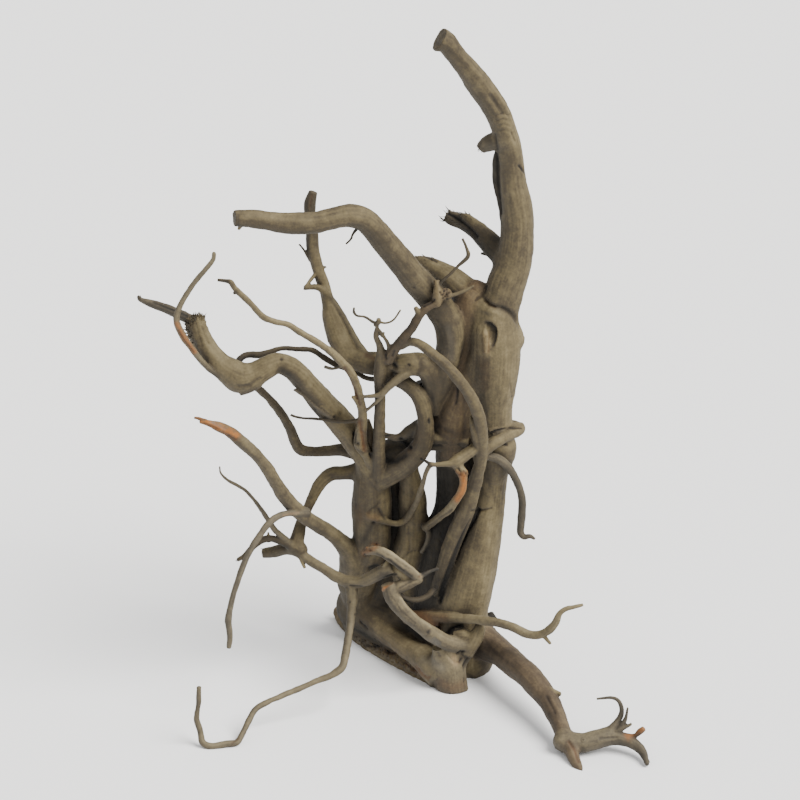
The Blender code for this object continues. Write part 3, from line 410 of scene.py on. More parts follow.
MIDDLE_LOOKS = {
    "knob": {"tone": (0.56, 0.56, 0.50, 0.44)},
    "curl": {"tone": 0.46, "fillet": 0.35},
    "curl_web": {"tone": 0.36},
    "curl_back": {"tone": 0.27},
    "left_stem": {"tone": 0.50},
    "middle_stem": {"tone": (0.56, 0.58, 0.64, 0.52, 0.4), "ribs": 1.3},
    "thin_stem": {"tone": 0.48, "fillet": 0.3},
    "antler_left": {"tone": 0.31},
    "pale_fork": {"tone": 0.60, "bleach_and_shade_grey": 0.08, "fillet": 0.3},
    "pale_fork_twig": {"tone": 0.55, "bleach_and_shade_grey": 0.08},
    "knotty_root": {"tone": 0.40, "warmth": 0.04, "fillet": 0.3, "ribs": 1.8},
    "knotty_end": {"tone": 0.60, "warmth": 0.04, "broken": 1.0},
    "knotty_node": {"tone": 0.54, "warmth": 0.05, "broken": 0.8},
    "tall_twig": {"tone": 0.36},
    "flat_twig": {"tone": 0.50},
    "node_root": {"tone": 0.55, "fillet": 0.3},
    "orange_root": {"tone": 0.60, "fillet": 0.3},
    "stem_wall": {"tone": 0.34, "fillet": 0.2},
    "knob_wall": {"tone": 0.28},
    "left_wall": {"tone": 0.60},
    "node_spur": {"tone": 0.22},
    "knob_neck": {"tone": 0.46, "fillet": 0.3},
    "antler_stem": {"tone": 0.46},
}
for name, stations in MIDDLE_ROOTS.items():
    grow(name, stations, **MIDDLE_LOOKS.get(name, {}))

# A strand twisted round the right of the middle stem
TWIST = [(13.8, -75.5, 9, 3), (16.6, -79, 8, 2.8), (16.8, -83, 8, 2.8), (15.2, -87.4, 9, 2.6),
         (12.8, -91.5, 10, 2.4)]
grow("twist", TWIST, tone=0.50, bleach_and_shade_grey=0.2, fillet=0.3)
# Holes in the knob, and its bend
mark("knob curl", [(-3.4, 21), (-2.7, 19.6)], 1.3, 2.4, tone=-0.50)
mark("knob curl", [(5.4, 21.2), (5.6, 20.8)], 0.55, 1.2, tone=-0.42)
mark("knob", [(9.5, 28), (12.2, 24.5), (12.6, 19), (11, 15.5)], 1.5, 0.8, tone=-0.12)
mark("knob", [(14, 23), (18, 17), (19.5, 8), (20, 0)], 2.8, 0.2, tone=-0.10)
mark("curl", [(8, -8), (9, -20), (4, -30)], 3.5, tone=-0.10, warmth=0.05)
mark("curl", [(17.5, -12.3), (17.7, -13.6)], 0.8, 0.8, tone=-0.35)
mark("curl curl_back curl_web", [(0.5, -23.5), (3, -25.5), (6, -28.6)], 1.0, 1.6, tone=-0.40)
mark("curl curl_back", [(-9, -36), (-3, -37), (3, -33.5)], 1.6, 1.0, tone=-0.25)
mark("curl_web", [(-8, -21.5), (-6.5, -21)], 0.9, 0.8, tone=-0.4)
mark("thin_stem knotty_root", [(-8.8, 27), (-8.4, 24.6)], 0.6, 0.6, tone=-0.32)
mark("thin_stem knotty_root", [(-3.5, 29), (-4.5, 26)], 0.7, 0.6, tone=-0.3)
# Knots of the stems
mark("left_stem node_root", [(-19.2, -67.5), (-17, -65.3), (-14, -64), (-12.8, -61.5)],
     0.7, 0.6, tone=-0.14, ragged=0.3)
mark("left_stem node_root", [(-13, -65.5), (-11.4, -68.6), (-9, -71.6)], 0.8, 0.8, tone=-0.18, ragged=0.3)
mark("left_stem node_root", [(-18.5, -69.6), (-14, -70.4)], 2.2, -1.4, tone=0.03, warmth=0.12)
mark("left_stem node_root", [(-15.8, -74)], 1.0, 1.2, tone=-0.42)
mark("left_stem", [(-23, -86), (-19.5, -80), (-17, -76)], 1.4, 0.5, tone=-0.15)
mark("left_stem", [(-26, -64), (-24, -68), (-25, -73)], 2.5, 0.5, tone=-0.10, warmth=0.08)
# Painted shade where the top of the left stem meets the thick branch and the curl
mark("left_stem thick_branch curl", [(-13.5, -41), (-14, -46), (-14.5, -52)], 0.8, 0.3, tone=-0.08)
mark("left_stem", [(-27, -90), (-28, -97), (-27, -103)], 1.3, 0.6, tone=-0.12, warmth=0.1)
mark("left_stem", [(-18, -101.5), (-14, -100)], 1.4, 1.0, tone=-0.38)
mark("middle_stem", [(4.8, -76), (5.5, -90)], 0.7, 0.4, tone=-0.10)
mark("middle_stem", [(1.5, -95), (5, -92), (9, -90.5)], 0.8, 0.5, tone=-0.14)
# The orange break of the forked rootlet, and the torn knot above it
mark("orange_root node_root", [(37.8, -46.3), (38.6, -50), (37.6, -55), (34.5, -59.5)], 2.1, tone=0.0,
     warmth=0.95, ragged=0.5)
mark("orange_root node_root", [(34, -43.5), (37, -44.5), (40, -43.5)], 1.2, -0.9, tone=-0.14, warmth=0.25,
     ragged=1.0)
mark("orange_root", [(33, -62), (24, -69.5), (17, -76)], 2.2, tone=0.08)
mark("orange_root", [(31, -66), (24, -70.5), (17, -76)], 0.7, 0.4, tone=-0.16)
mark("orange_root", [(38.6, -50), (37.4, -55), (34.5, -59)], 0.5, 0.3, tone=0.12)
mark("orange_root node_root", [(35, -41.5), (36.5, -43), (35.8, -45)], 0.6, 0.8, tone=-0.3, ragged=0.5)
mark("orange_root node_root", [(38.2, -42.6), (39.4, -44.4)], 0.5, 0.7, tone=-0.3, ragged=0.4)
# Torn face of the node, pitted with dark holes
for turn in range(12):
    way = np.array((math.cos(turn * 2.4), math.sin(turn * 2.4))) * (0.7 + 0.22 * turn)
    mark("knotty_node knotty_root knotty_end", [way + (27.0, 63.2), way * 1.25 + (27.0, 63.4)], 0.42, 0.7,
         tone=-0.34, ragged=0.35)
mark("knotty_root knotty_end", [(14, 56.2), (18, 58), (20.5, 60)], 0.6, 0.7, tone=-0.30)

# Left branches
# The roots that sprawl to the left and once ran through soil: one thick and torn at its end, one
# long and winding, one with an orange tip, and the thin whips and claws between them.
LEFT_BRANCHES = {
    "thick_branch": [
        (-15, -42, 6, 16), (-22, -31, 7, 16), (-30, -19.6, 6, 16.2), (-38, -10.8, 4, 15.6),
        (-46, -2, 1, 15.2), (-53, 6.3, -3, 14.2), (-60, 14.2, -7, 13.6), (-66.5, 19.7, -11, 13),
        (-73.5, 22, -14, 12.8), (-81, 19, -17, 13.8), (-88.5, 14.8, -18, 16.5), (-96, 13.8, -18, 19.4),
        (-102.5, 17.5, -18, 17), (-109, 22.5, -17, 14.8), (-115.5, 30, -14, 13.8), (-120, 38.5, -11, 13),
        (-122.4, 45, -9, 12.6), (-123, 50.5, -8, 11.6)],
    "splinter": [
        (-118, 42, -6, 6.5), (-121.5, 46, -4, 7), (-127, 49, -2, 6.4), (-134, 52.2, 1, 6.2),
        (-142, 55.4, 4, 5.6), (-150, 58.2, 7, 4.6), (-155.6, 60.2, 9, 3), (-157, 61.6, 9, 1.4)],
    "bent_twig": [
        (-108, 14, -23, 3), (-114, 18.5, -24, 3.4), (-119.5, 24, -25, 3.6), (-125, 31, -26, 4),
        (-130, 38, -26, 4.4), (-134, 47, -26, 4), (-133, 54, -26, 3.5), (-129, 62, -27, 3.1),
        (-123, 71, -29, 3), (-117, 78, -31, 3), (-112.3, 84, -33, 2.5), (-111.5, 88.5, -34, 2.2)],
    "under_rootlet": [
        (-63.5, 6.3, -12, 1.6), (-58, 2.4, -10, 1.4), (-52, -2.8, -7.5, 1.8), (-46, -7.5, -6, 2.2),
        (-40, -11.5, -4, 2.4)],
    "winding_root": [
        (-15, -44, 1, 6), (-19, -34, -2, 6.5), (-23.5, -26, -4, 8), (-23, -17, -7, 7),
        (-22.5, -8, -10, 5.6), (-24, 0, -13, 5.4), (-26, 9, -16, 5.2), (-30, 17, -20, 5.2),
        (-36, 23.6, -24, 5.2), (-42, 29.4, -28, 4.8), (-50, 34.9, -32, 4.3), (-60, 40.8, -36, 4),
        (-67, 45.2, -39, 3.8), (-75, 47, -42, 3.7), (-82, 49.9, -45, 4), (-90, 58.3, -47, 3.6),
        (-96, 63.8, -48, 3.7), (-99.6, 67.6, -48, 3.4), (-101.5, 70.6, -48, 3.5),
        (-104.5, 71.4, -47, 2.6), (-109.5, 72, -45, 1.5)],
    "winding_twig": [(-34, 21, -22.5, 2.6), (-40, 18.8, -24, 1.8), (-45.5, 20, -25, 2)],
    "winding_fork": [(-23.3, -7, -11, 2.6), (-26, -1.5, -15, 2), (-28.5, 2.2, -17, 2)],
    "rear_root": [
        (-10, 13, 0, 3.4), (-16, 12.5, 6, 3), (-21, 13.5, 9, 2.8), (-27, 17, 12, 3),
        (-34, 19.5, 15, 3.2), (-40, 22, 16, 3.4), (-47, 26.5, 16, 3.3), (-53, 30, 14, 3),
        (-62, 30.6, 11, 3), (-71, 31, 7, 3), (-79, 28.6, 3, 3.4), (-85, 27.2, 0, 4.3),
        (-91, 27.2, -3, 3.9), (-96, 24.5, -8, 4), (-99, 18, -13, 4.5)],
    "bow_root": [
        (-93, 13, -12, 5), (-88, 9, -9, 4.6), (-83, 5, -4, 4.6), (-77, -1, 0, 5), (-71, -8.5, 4, 5.5),
        (-66, -17, 8, 6), (-63, -25, 11, 6.6), (-59.5, -29.8, 13, 7), (-52, -31, 14, 6),
        (-43, -30.5, 15, 6.5), (-34, -30, 14, 8), (-25, -32, 12, 10), (-18, -36, 10, 12)],
    "cross_twig": [
        (-65.8, -8.8, -4, 1.5), (-63, -9.9, -4, 1.4), (-58, -10.9, -5, 1.3), (-52, -11.2, -6, 1.5),
        (-44, -12, -6, 1.8), (-36, -13, -6.5, 2.2), (-28, -12.5, -8, 2.4), (-22.5, -11, -9, 2.6)],
    "arch_root": [
        (-20, -41, 13, 12), (-27, -43, 14, 9.8), (-34, -43.6, 15, 8.6), (-40, -44, 15, 8.2),
        (-44.8, -46.8, 15, 8), (-49.4, -52.4, 13, 7.4), (-53, -59.5, 11, 6.4), (-56.6, -67, 8, 6),
        (-59.5, -74.5, 5, 6.6), (-61.2, -81.5, 2, 8.2), (-63, -88, 0, 9.6)],
    "red_branch": [
        (-28.5, -108, 28, 18), (-28.6, -98, 22, 16.6), (-30.6, -90.5, 17, 13), (-37, -83.5, 10, 10.2),
        (-42.5, -79.3, 5, 9.2), (-49.5, -75, 0, 9), (-57.5, -69.8, -5, 9), (-64.5, -63.4, -10, 9),
        (-71.2, -55.4, -14, 8.6), (-76.5, -46.4, -18, 8), (-81, -39.2, -21, 7.6),
        (-87.5, -31.7, -25, 7.2), (-95.8, -24.4, -29, 7.4), (-102, -19.2, -32, 6.8),
        (-109, -16, -34.5, 5.8), (-115, -13.8, -36.5, 4), (-120, -12.6, -38, 2.8)],
    "hanging_root": [
        (-56.5, -67.2, -7, 6), (-62, -67.6, -12, 4.4), (-67.5, -68, -16, 3.8),
        (-72.5, -69.5, -19, 3.9), (-77, -72.5, -23, 4.2), (-81, -76.8, -26, 4.2),
        (-84.6, -82, -29, 4.1), (-88.4, -87.8, -33, 4), (-91.8, -94, -36, 3.8),
        (-94.7, -101, -39, 4), (-98, -110.5, -43, 3.8), (-100.8, -120, -46, 3.7),
        (-102.8, -130, -49, 4.4), (-102.7, -136, -50, 4), (-102, -142, -51, 3.8),
        (-102.6, -149, -52, 3)],
    "whip": [
        (-64, -88, -1, 5), (-70, -82.5, -3, 3.8), (-75, -78, -5, 3.5), (-79, -72, -7, 3.2),
        (-83, -66, -9, 2.8), (-87.5, -60, -12, 2.2), (-92.5, -54.5, -14, 2), (-98, -51, -16, 2),
        (-103.5, -48, -18, 1.8), (-107.5, -44, -19, 1.2), (-108.3, -40, -20, 1.2)],
    "snapped_root": [(-60, -90, -1, 9), (-68, -89.5, 2, 7.5), (-75, -91, 5, 6.8),
                     (-82.5, -92, 8, 5.6)],
    "claw_root": [
        (-63, -88, -1, 6), (-71, -85, -3, 4.8), (-78, -83, -5, 4.2), (-84, -84.8, -7, 4),
        (-89, -89, -9, 3.6), (-93, -93.2, -10, 3.2), (-97.6, -96, -11, 2.2)],
    "claw_spur": [(-79, -85, -5, 2.6), (-79, -79.3, -5, 1.2)],
    "claw_thorn": [(-60, -91.5, -2, 3.6), (-58.8, -97, -5, 2.4), (-57, -101, -7, 1.8)],
    "low_root": [
        (-64, -88.5, 0, 8), (-59.5, -92.3, -2, 6.2), (-52.5, -97.2, -6, 5.6),
        (-45, -101.6, -9, 5.6), (-39, -105.6, -12, 6.2), (-32, -108.5, -15, 6.8),
        (-24, -109, -18, 7.6), (-17, -106.4, -22, 8), (-10, -102.8, -26, 8.4),
        (-3, -100.5, -30, 9)],
    "winding_bumps": [
        (-98, 65.5, -48, 3.4), (-99.9, 63.7, -48, 1.6)],
    "branch_flake": [
        (-85, 9.6, -21, 5), (-91, 6.4, -22.5, 4.8), (-96.4, 4.7, -21, 4.4)],
    "splinter_hook": [
        (-155.8, 60.4, 9, 2.2), (-157.2, 62.6, 9, 1.2)],
    "red_prongs": [
        (-117, -12.8, -37, 3), (-120.5, -11.2, -38, 2), (-123.6, -10.6, -39, 1.2)],
}

LEFT_LOOKS = {
    "thick_branch": {"tone": 0.60, "broken": 2.5},
    "splinter": {"tone": (0.30, 0.35, 0.33), "bleach_and_shade_grey": 0.15, "ribs": 2.4},
    "bent_twig": {"tone": (0.42, 0.60, 0.60), "bleach_and_shade_grey": 0.12, "fillet": 0.3},
    "under_rootlet": {"tone": 0.42, "bleach_and_shade_grey": 0.15},
    "winding_root": {"tone": 0.59, "fillet": 0.3},
    "winding_twig": {"tone": 0.42, "bleach_and_shade_grey": 0.1},
    "rear_root": {"tone": (0.38, 0.38, 0.34)},
    "bow_root": {"tone": 0.43},
    "cross_twig": {"tone": 0.34},
    "arch_root": {"tone": 0.54},
    "red_branch": {"tone": 0.52, "bleach_and_shade_grey": 0.05, "fillet": 0.35},
    "hanging_root": {"tone": (0.40, 0.43, 0.47), "bleach_and_shade_grey": 0.2, "fillet": 0.3},
    "whip": {"tone": 0.48, "bleach_and_shade_grey": 0.15},
    "snapped_root": {"tone": 0.46, "broken": 1.5},
    "claw_root": {"tone": 0.40},
    "claw_thorn": {"tone": 0.61},
    "low_root": {"tone": 0.56, "bleach_and_shade_grey": 0.06, "fillet": 0.35},
    "winding_bumps": {"tone": 0.3},
    "branch_flake": {"tone": 0.46, "bleach_and_shade_grey": 0.1, "fillet": 0.2, "ribs": 2.0, "broken": 1.5},
    "splinter_hook": {"tone": 0.24},
    "red_prongs": {"tone": 0.30, "warmth": 0.5},
}
for name, stations in LEFT_BRANCHES.items():
    grow(name, stations, **LEFT_LOOKS.get(name, {}))

# Worm tracks where the winding root joins the thick branch, and the split along its upper part
mark("winding_root thick_branch", [(-24.3, -13), (-23.5, -18), (-22, -24), (-21.4, -30)], 1.3, 1.0,
     tone=-0.22, warmth=0.3, ragged=0.8)
mark("winding_root thick_branch rear_root", [(-27.3, -20), (-27.6, -25.5)], 0.8, 1.4, tone=-0.42)
mark("winding_root thick_branch", [(-25.5, -26.5)], 0.9, 1.2, tone=-0.42)
mark("winding_root thick_branch left_stem", [(-17.8, -32.5), (-16.8, -34.5), (-15.2, -37.8)],
     0.8, 1.2, tone=-0.35)
mark("winding_root thick_branch left_stem", [(-26, -30), (-22, -32), (-19, -31)], 0.7, 0.5, tone=-0.12)
mark("winding_root", [(-33.5, 19), (-30, 11), (-27, 5), (-24.6, -3)], 0.9, 0.7, tone=-0.24, warmth=0.25)
mark("winding_root", [(-42, 29), (-36, 22.5), (-30, 14)], 0.5, -0.3, tone=0.06)
# Knots, painted shade along the underside, and the torn end of the thick branch
mark("thick_branch", [(-36.2, -8)], 1.0, 0.8, tone=-0.32, rings=0.9)
mark("thick_branch", [(-39.4, -10.6)], 0.9, 0.8, tone=-0.34)
mark("thick_branch", [(-47, -5), (-43, -8.5)], 3.2, 0.35, tone=-0.05, rings=1.6)
mark("thick_branch", [(-50, -11)], 0.9, 0.7, tone=-0.3)
mark("thick_branch", [(-71, 24.5)], 1.0, 0.8, tone=-0.35)
# Painted shade along the underside of the thick branch
mark("thick_branch", [(-70, 16), (-60, 8), (-50, -2)], 3.5, 0.2, tone=-0.08)
mark("thick_branch", [(-119, 44), (-117, 38), (-115, 34)], 0.5, 0.4, tone=-0.08, ragged=0.4)
mark("thick_branch", [(-122.4, 46), (-120.6, 39), (-118.6, 32)], 0.6, 0.4, tone=-0.10, ragged=0.5)
mark("thick_branch", [(-128, 46), (-126, 38), (-121.5, 29)], 1.2, 0.4, tone=-0.14, ragged=1.2)
mark("thick_branch", [(-127, 50), (-120, 51)], 1.2, 0.3, tone=-0.16, ragged=1.0)
# More painted shade along the underside of the thick branch
mark("thick_branch", [(-71, 18), (-62, 9), (-50, -4)], 4.0, tone=-0.16)
mark("thick_branch", [(-97, 8), (-90, 9), (-84, 13)], 1.0, 0.5, tone=-0.12)
mark("splinter", [(-122, 48), (-134, 53), (-148, 58.5)], 0.6, 0.6, tone=-0.18)
mark("bent_twig", [(-134, 46), (-130.5, 39), (-126, 33), (-123, 29)], 1.4, tone=-0.10, warmth=0.8, ragged=0.6)
mark("bent_twig", [(-133.5, 42), (-129, 35), (-124, 29)], 0.4, 0.6, tone=-0.25)
# The orange tip of the red branch
mark("red_branch", [(-123, -10.6), (-114, -14), (-105, -18), (-99, -21)], 2.6, tone=-0.02, warmth=0.95,
     ragged=1.4)
mark("red_branch", [(-118, -14), (-109, -17.5)], 0.5, 0.6, tone=-0.2, warmth=0.3)
mark("red_branch", [(-113, -13.2), (-105, -17.4)], 0.8, 0.4, tone=-0.10, bleach_and_shade_grey=0.35, ragged=0.8)
mark("red_branch", [(-106, -20), (-99, -23.5)], 0.6, 0.5, tone=-0.16, ragged=0.6)
mark("red_branch", [(-58, -68), (-52, -72), (-45, -77)], 1.0, 0.3, tone=-0.08)
mark("winding_root", [(-109, 72), (-104, 71)], 1.6, tone=-0.25)
mark("hanging_root", [(-61, -67.5), (-70, -69)], 0.7, 0.3, tone=0.08, warmth=0.2)
mark("hanging_root", [(-97, -108), (-101, -124)], 0.4, 0.3, tone=-0.12)
mark("low_root", [(-30, -111.6), (-26, -111.8), (-21, -112.6)], 0.6, 0.7, tone=-0.28)
mark("arch_root", [(-41, -46), (-36, -48), (-30, -46)], 2.0, 0.4, tone=-0.10)

# Base
# The foot of the root, sawn flat so that it stands, with the thick leg on the right, the thin
# feeler on the left, and the pale roots that are looped over the sawn edge.
BASE = {
    "core": [(-24, -124, 46, 28), (-10, -131, 36, 32), (5, -138, 26, 34), (20, -145, 16, 34),
             (33, -151, 8, 32), (44, -155, 2, 26)],
    "sill": [
        (-34, -126, 68, 13), (-26.4, -137, 50.5, 16), (-14, -148.4, 31.5, 20), (-2, -156.4, 15.5, 20),
        (10, -163.2, 1, 20), (20, -168.4, -10, 20), (29, -172, -19, 20)],
    "sill_ridge": [
        (-30, -119, 45, 11), (-24, -125.5, 37, 13), (-16.5, -132.5, 28, 13), (-9, -138.8, 18, 13),
        (-2, -144, 9, 13), (5, -149, 0, 13.5), (12, -154, -9, 14.5), (18, -159, -16, 16),
        (23, -163, -20, 17)],
    "right_lobe": [
        (47, -138, 4, 18), (48, -147, 2, 22), (47.5, -155, 0, 18), (45, -161.5, -4, 15),
        (41, -167, -10, 11)],
    "heel_knob": [(48, -135, 9, 9), (57, -129.5, 14, 6.5)],
    "heel_toe": [(49, -140, 6, 9), (57, -139, 10, 5)],
    "pale_root": [
        (-22, -91.8, -27, 3), (-18.5, -90.6, -28.5, 4.4), (-14, -90.4, -30.5, 5.6),
        (-8.5, -92.4, -32, 6), (-3, -96.2, -33, 6.2), (3, -100.6, -33, 6.2), (8.5, -104.8, -31.5, 6),
        (12.6, -107.4, -29.5, 4.6)],
    "pale_stub": [(11, -106.5, -30, 3.6), (17.5, -103, -28, 2.2), (23, -101, -26, 2)],
    "pale_return": [
        (11, -107.6, -30, 5.4), (4.5, -110.2, -32, 7), (-2, -112.8, -34, 8), (-6.6, -115.4, -35, 8)],
    "pale_leg": [
        (-7.6, -110.5, -35, 8), (-5, -117.5, -36, 9.6), (-0.6, -124, -36, 8.6), (5.6, -130.3, -35, 8),
        (12.6, -136, -33, 8), (19.4, -141, -30.5, 9), (27, -145, -28, 8.8), (34, -147, -25.5, 8.4),
        (40.5, -147, -23.5, 7.6)],
    "pale_bow": [
        (-2, -116, -33, 3.6), (4, -119.3, -30, 3.4), (10, -120, -26, 3.4), (16, -118, -20, 3.4),
        (20, -114, -12, 4)],
    "right_root": [
        (14, -129.8, -2, 6), (20, -130, -6, 7), (28, -130.6, -12, 6.6), (36, -131, -17, 6),
        (44, -131.5, -22, 5.8), (52, -132.6, -27, 5.6), (60, -133.8, -31, 5.2), (68, -136.3, -35, 4.8),
        (75, -139.8, -39, 5), (82, -141, -42, 5.2), (88, -139, -44, 5), (93, -134, -46, 4.4),
        (95.5, -128.5, -47, 3.8), (99, -125.6, -47, 3.2), (104, -124.3, -47, 2.6),
        (110, -122.8, -46, 1.8)],
    "right_root_spur": [(85, -140, -43, 3.4), (90.5, -146.5, -45, 1.8)],
    "left_feeler": [
        (-29.5, -109, -15, 7.4), (-28.6, -117, -18, 7.4), (-29, -125, -25, 6), (-30, -135, -34, 5),
        (-31.4, -145, -43, 4.8), (-33, -154, -51, 4.8), (-35, -160.5, -57, 4.8),
        (-42, -165.5, -60, 4), (-50, -168.5, -62.5, 3.5), (-60, -173, -66, 3.5),
        (-70, -177, -70, 3.6), (-80, -181.5, -74, 3.6), (-87, -186, -77.5, 3.7),
        (-91, -193, -83, 3.6), (-94.5, -200, -89.5, 3.6), (-98, -205.5, -95.5, 3.9),
        (-105, -206.5, -97, 4), (-113, -207.8, -98.5, 4), (-118.3, -205.5, -97.5, 3.9),
        (-119.8, -199, -95, 3.4), (-122, -191, -94, 3.4), (-121, -182, -94, 3.2),
        (-120.5, -172, -94, 3)],
    "leg": [
        (44, -141, 0, 22), (53, -147, -9, 19), (60.8, -152, -20, 16), (67.2, -157.7, -33, 15.6),
        (77, -165.7, -49, 15), (83, -172.5, -60, 14.2), (89.4, -181, -73, 12.8),
        (93.3, -188.7, -84, 11.6), (97, -197.4, -95, 10.2), (100.2, -204.6, -103, 9.6),
        (103.2, -211.8, -112, 8.4), (105.8, -218, -119, 6.2), (109.6, -224.6, -126, 1.8)],
    "leg_spur": [(90, -175, -69, 5), (96.5, -176.5, -72, 2.4)],
    "toe": [
        (98, -204.5, -103, 12.5), (109, -205.5, -105, 12), (118, -203.6, -104, 11.5),
        (126, -201.9, -102, 11), (134, -203.6, -104, 8.6), (141, -206.6, -107.5, 7),
        (145.7, -211.5, -113, 5.4), (148.5, -219, -122, 2.4)],
    "long_claw": [(124, -200, -102, 7), (130, -193.5, -100, 4), (133, -187, -98, 3),
                  (131.5, -181, -97, 2.6), (127, -178.6, -97, 1.8), (118, -179.3, -98, 1.2)],
    "short_claw": [(130, -199, -102, 4.4), (135, -192, -102, 2.4), (136.7, -184.5, -102, 1.2)],
    "side_claw": [(130, -199, -103, 3.6), (139, -194.3, -104, 1.6)],
    "orange_claw": [(133, -201, -104, 3.6), (140.5, -201.5, -105, 2.6), (144, -198.8, -106, 4),
                    (146.5, -197, -106.5, 3.4)],
    "bay": [
        (4, -130.5, 6, 8), (11, -131.8, -1, 11), (19, -133.4, -5, 13), (25, -135, -8, 12)],
    "bowl_rim": [
        (48, -133.5, -19, 5), (47.6, -137, -21, 7), (45.6, -142, -22.5, 8.6), (42.6, -147, -23, 9),
        (39.5, -151.5, -22.5, 8.6)],
    "front_left": [
        (23.5, -148, -25, 8), (25, -155, -24, 11), (26.8, -163, -24.5, 12.5),
        (28.4, -175.5, -26.4, 11.6)],
    "front_right": [
        (42.4, -147.5, -21, 7), (39, -153, -21.5, 8), (35.2, -160, -23, 9), (35.4, -168, -25, 9.6),
        (36.4, -175.5, -26.4, 10)],
    "pale_web": [
        (-9, -97.5, -27, 6), (-2.5, -101.5, -28.5, 7), (3.5, -105.5, -29, 7.4), (8.5, -109, -28.5, 6)],
    "pale_prongs": [
        (-18, -90.5, -28.5, 3.4), (-20.5, -88.4, -28, 1.6)],
    "dish": [
        (33, -141, -20, 8), (37.5, -141, -21, 9), (41, -141.5, -21, 7)],
    "front_middle": [
        (30, -146, -22, 12), (30.5, -155, -22.5, 14), (32, -165, -25, 13), (33.2, -176, -27.6, 11.6)],
    "lobe_web": [
        (13, -153.5, -11, 11), (18.5, -158.6, -18, 14), (24, -165, -22.5, 14)],
}

BASE_LOOKS = {
    "core": {"tone": (0.30, 0.30, 0.24)},
    "sill": {"tone": (0.54, 0.66, 0.60), "warmth": 0.05, "ribs": 2.0},
    "sill_ridge": {"tone": (0.50, 0.56, 0.60, 0.60), "warmth": 0.02, "bleach_and_shade_grey": 0.04,
                   "fillet": 0.6, "ribs": 1.6},
    "right_lobe": {"tone": 0.40, "bleach_and_shade_grey": 0.05},
    "heel_knob": {"tone": 0.22, "broken": 1.0},
    "heel_toe": {"tone": 0.3},
    "pale_root": {"tone": (0.50, 0.56, 0.54), "bleach_and_shade_grey": 0.12, "fillet": 0.25, "ribs": 2.6, "broken": 2.0},
    "pale_stub": {"tone": 0.27, "bleach_and_shade_grey": 0.12},
    "pale_return": {"tone": (0.46, 0.42), "bleach_and_shade_grey": 0.05, "fillet": 0.25, "ribs": 2.4},
    "pale_leg": {"tone": (0.50, 0.54, 0.54, 0.48), "bleach_and_shade_grey": 0.10, "fillet": 0.35, "ribs": 2.2},
    "pale_bow": {"tone": (0.36, 0.32, 0.2), "fillet": 0.3},
    "right_root": {"tone": 0.60, "bleach_and_shade_grey": 0.05, "fillet": 0.35},
    "left_feeler": {"tone": 0.48, "bleach_and_shade_grey": 0.12, "fillet": 0.35},
    "leg": {"tone": (0.40, 0.36, 0.44), "warmth": 0.08, "bleach_and_shade_grey": 0.1, "fillet": 0.35, "ribs": 1.3},
    "toe": {"tone": (0.52, 0.48, 0.30), "bleach_and_shade_grey": 0.14},
    "long_claw": {"tone": (0.48, 0.34), "bleach_and_shade_grey": 0.15},
    "short_claw": {"tone": (0.42, 0.34), "bleach_and_shade_grey": 0.15},
    "side_claw": {"tone": 0.46, "bleach_and_shade_grey": 0.15},
    "orange_claw": {"tone": 0.40, "bleach_and_shade_grey": 0.1},
    "bay": {"tone": 0.40, "warmth": 0.12},
    "bowl_rim": {"tone": 0.56, "bleach_and_shade_grey": 0.03, "fillet": 0.5},
    "front_left": {"tone": (0.56, 0.48), "bleach_and_shade_grey": 0.10, "fillet": 0.7, "ribs": 1.5},
    "front_right": {"tone": (0.52, 0.44), "bleach_and_shade_grey": 0.10, "fillet": 0.7, "ribs": 1.5},
    "pale_web": {"tone": 0.74, "bleach_and_shade_grey": 0.06, "fillet": 0.3, "ribs": 2.4},
    "pale_prongs": {"tone": 0.46, "warmth": 0.3, "fillet": 0.2},
    "dish": {"tone": 0.56, "fillet": 0.5},
    "front_middle": {"tone": (0.58, 0.48), "bleach_and_shade_grey": 0.10, "fillet": 0.8, "ribs": 1.5},
    "lobe_web": {"tone": (0.58, 0.52), "bleach_and_shade_grey": 0.06, "fillet": 0.9, "ribs": 1.4},
}
for name, stations in BASE.items():
    grow(name, stations, **BASE_LOOKS.get(name, {}))

# A round scar and dark knots on the feeler
mark("left_feeler low_root", [(-32.8, -114)], 2.4, 0.5, tone=-0.06, rings=1.5)
mark("left_feeler", [(-30.2, -121.2)], 0.7, 0.6, tone=-0.35)
mark("left_feeler", [(-26.6, -128.8)], 0.7, 0.6, tone=-0.38)
mark("left_feeler", [(-97, -203), (-101, -206)], 0.8, 0.5, tone=-0.14, warmth=0.1)
# The pale root that is looped over the edge: crest, orange breaks, pits and knots
mark("pale_root left_stem", [(-22, -92.5), (-18, -90), (-14.5, -87.5)], 1.8, 0.4, tone=-0.08, warmth=0.36,
     ragged=1.0)
mark("pale_root left_stem", [(-21.2, -93.4)], 0.8, 1.0, tone=-0.45)
mark("pale_root left_stem", [(-14, -87)], 0.7, 0.9, tone=-0.35, warmth=0.4)
mark("pale_root left_stem", [(-18, -90.4)], 0.6, 0.8, tone=-0.3, warmth=0.3)
mark("pale_root", [(-11, -94.5)], 0.8, 0.8, tone=-0.28)
mark("pale_root", [(-10, -88.5), (-4, -93), (3, -98)], 1.0, -0.6, tone=0.14)
mark("pale_root", [(4, -98.5), (9, -102.5), (12.4, -106)], 0.6, -0.5, tone=0.16)
mark("pale_root", [(-7, -95.5), (0, -101), (7, -106)], 0.7, 0.6, tone=-0.20)
mark("pale_root", [(-14, -92), (-6, -96.5), (2, -102.5)], 0.45, 0.4, tone=-0.16, ragged=0.4)
mark("pale_root", [(-12, -90.5), (-4, -94.5), (5, -101)], 0.35, 0.3, tone=-0.12, ragged=0.3)
mark("pale_root pale_stub", [(12, -106)], 0.9, 0.7, tone=-0.22, warmth=0.2)
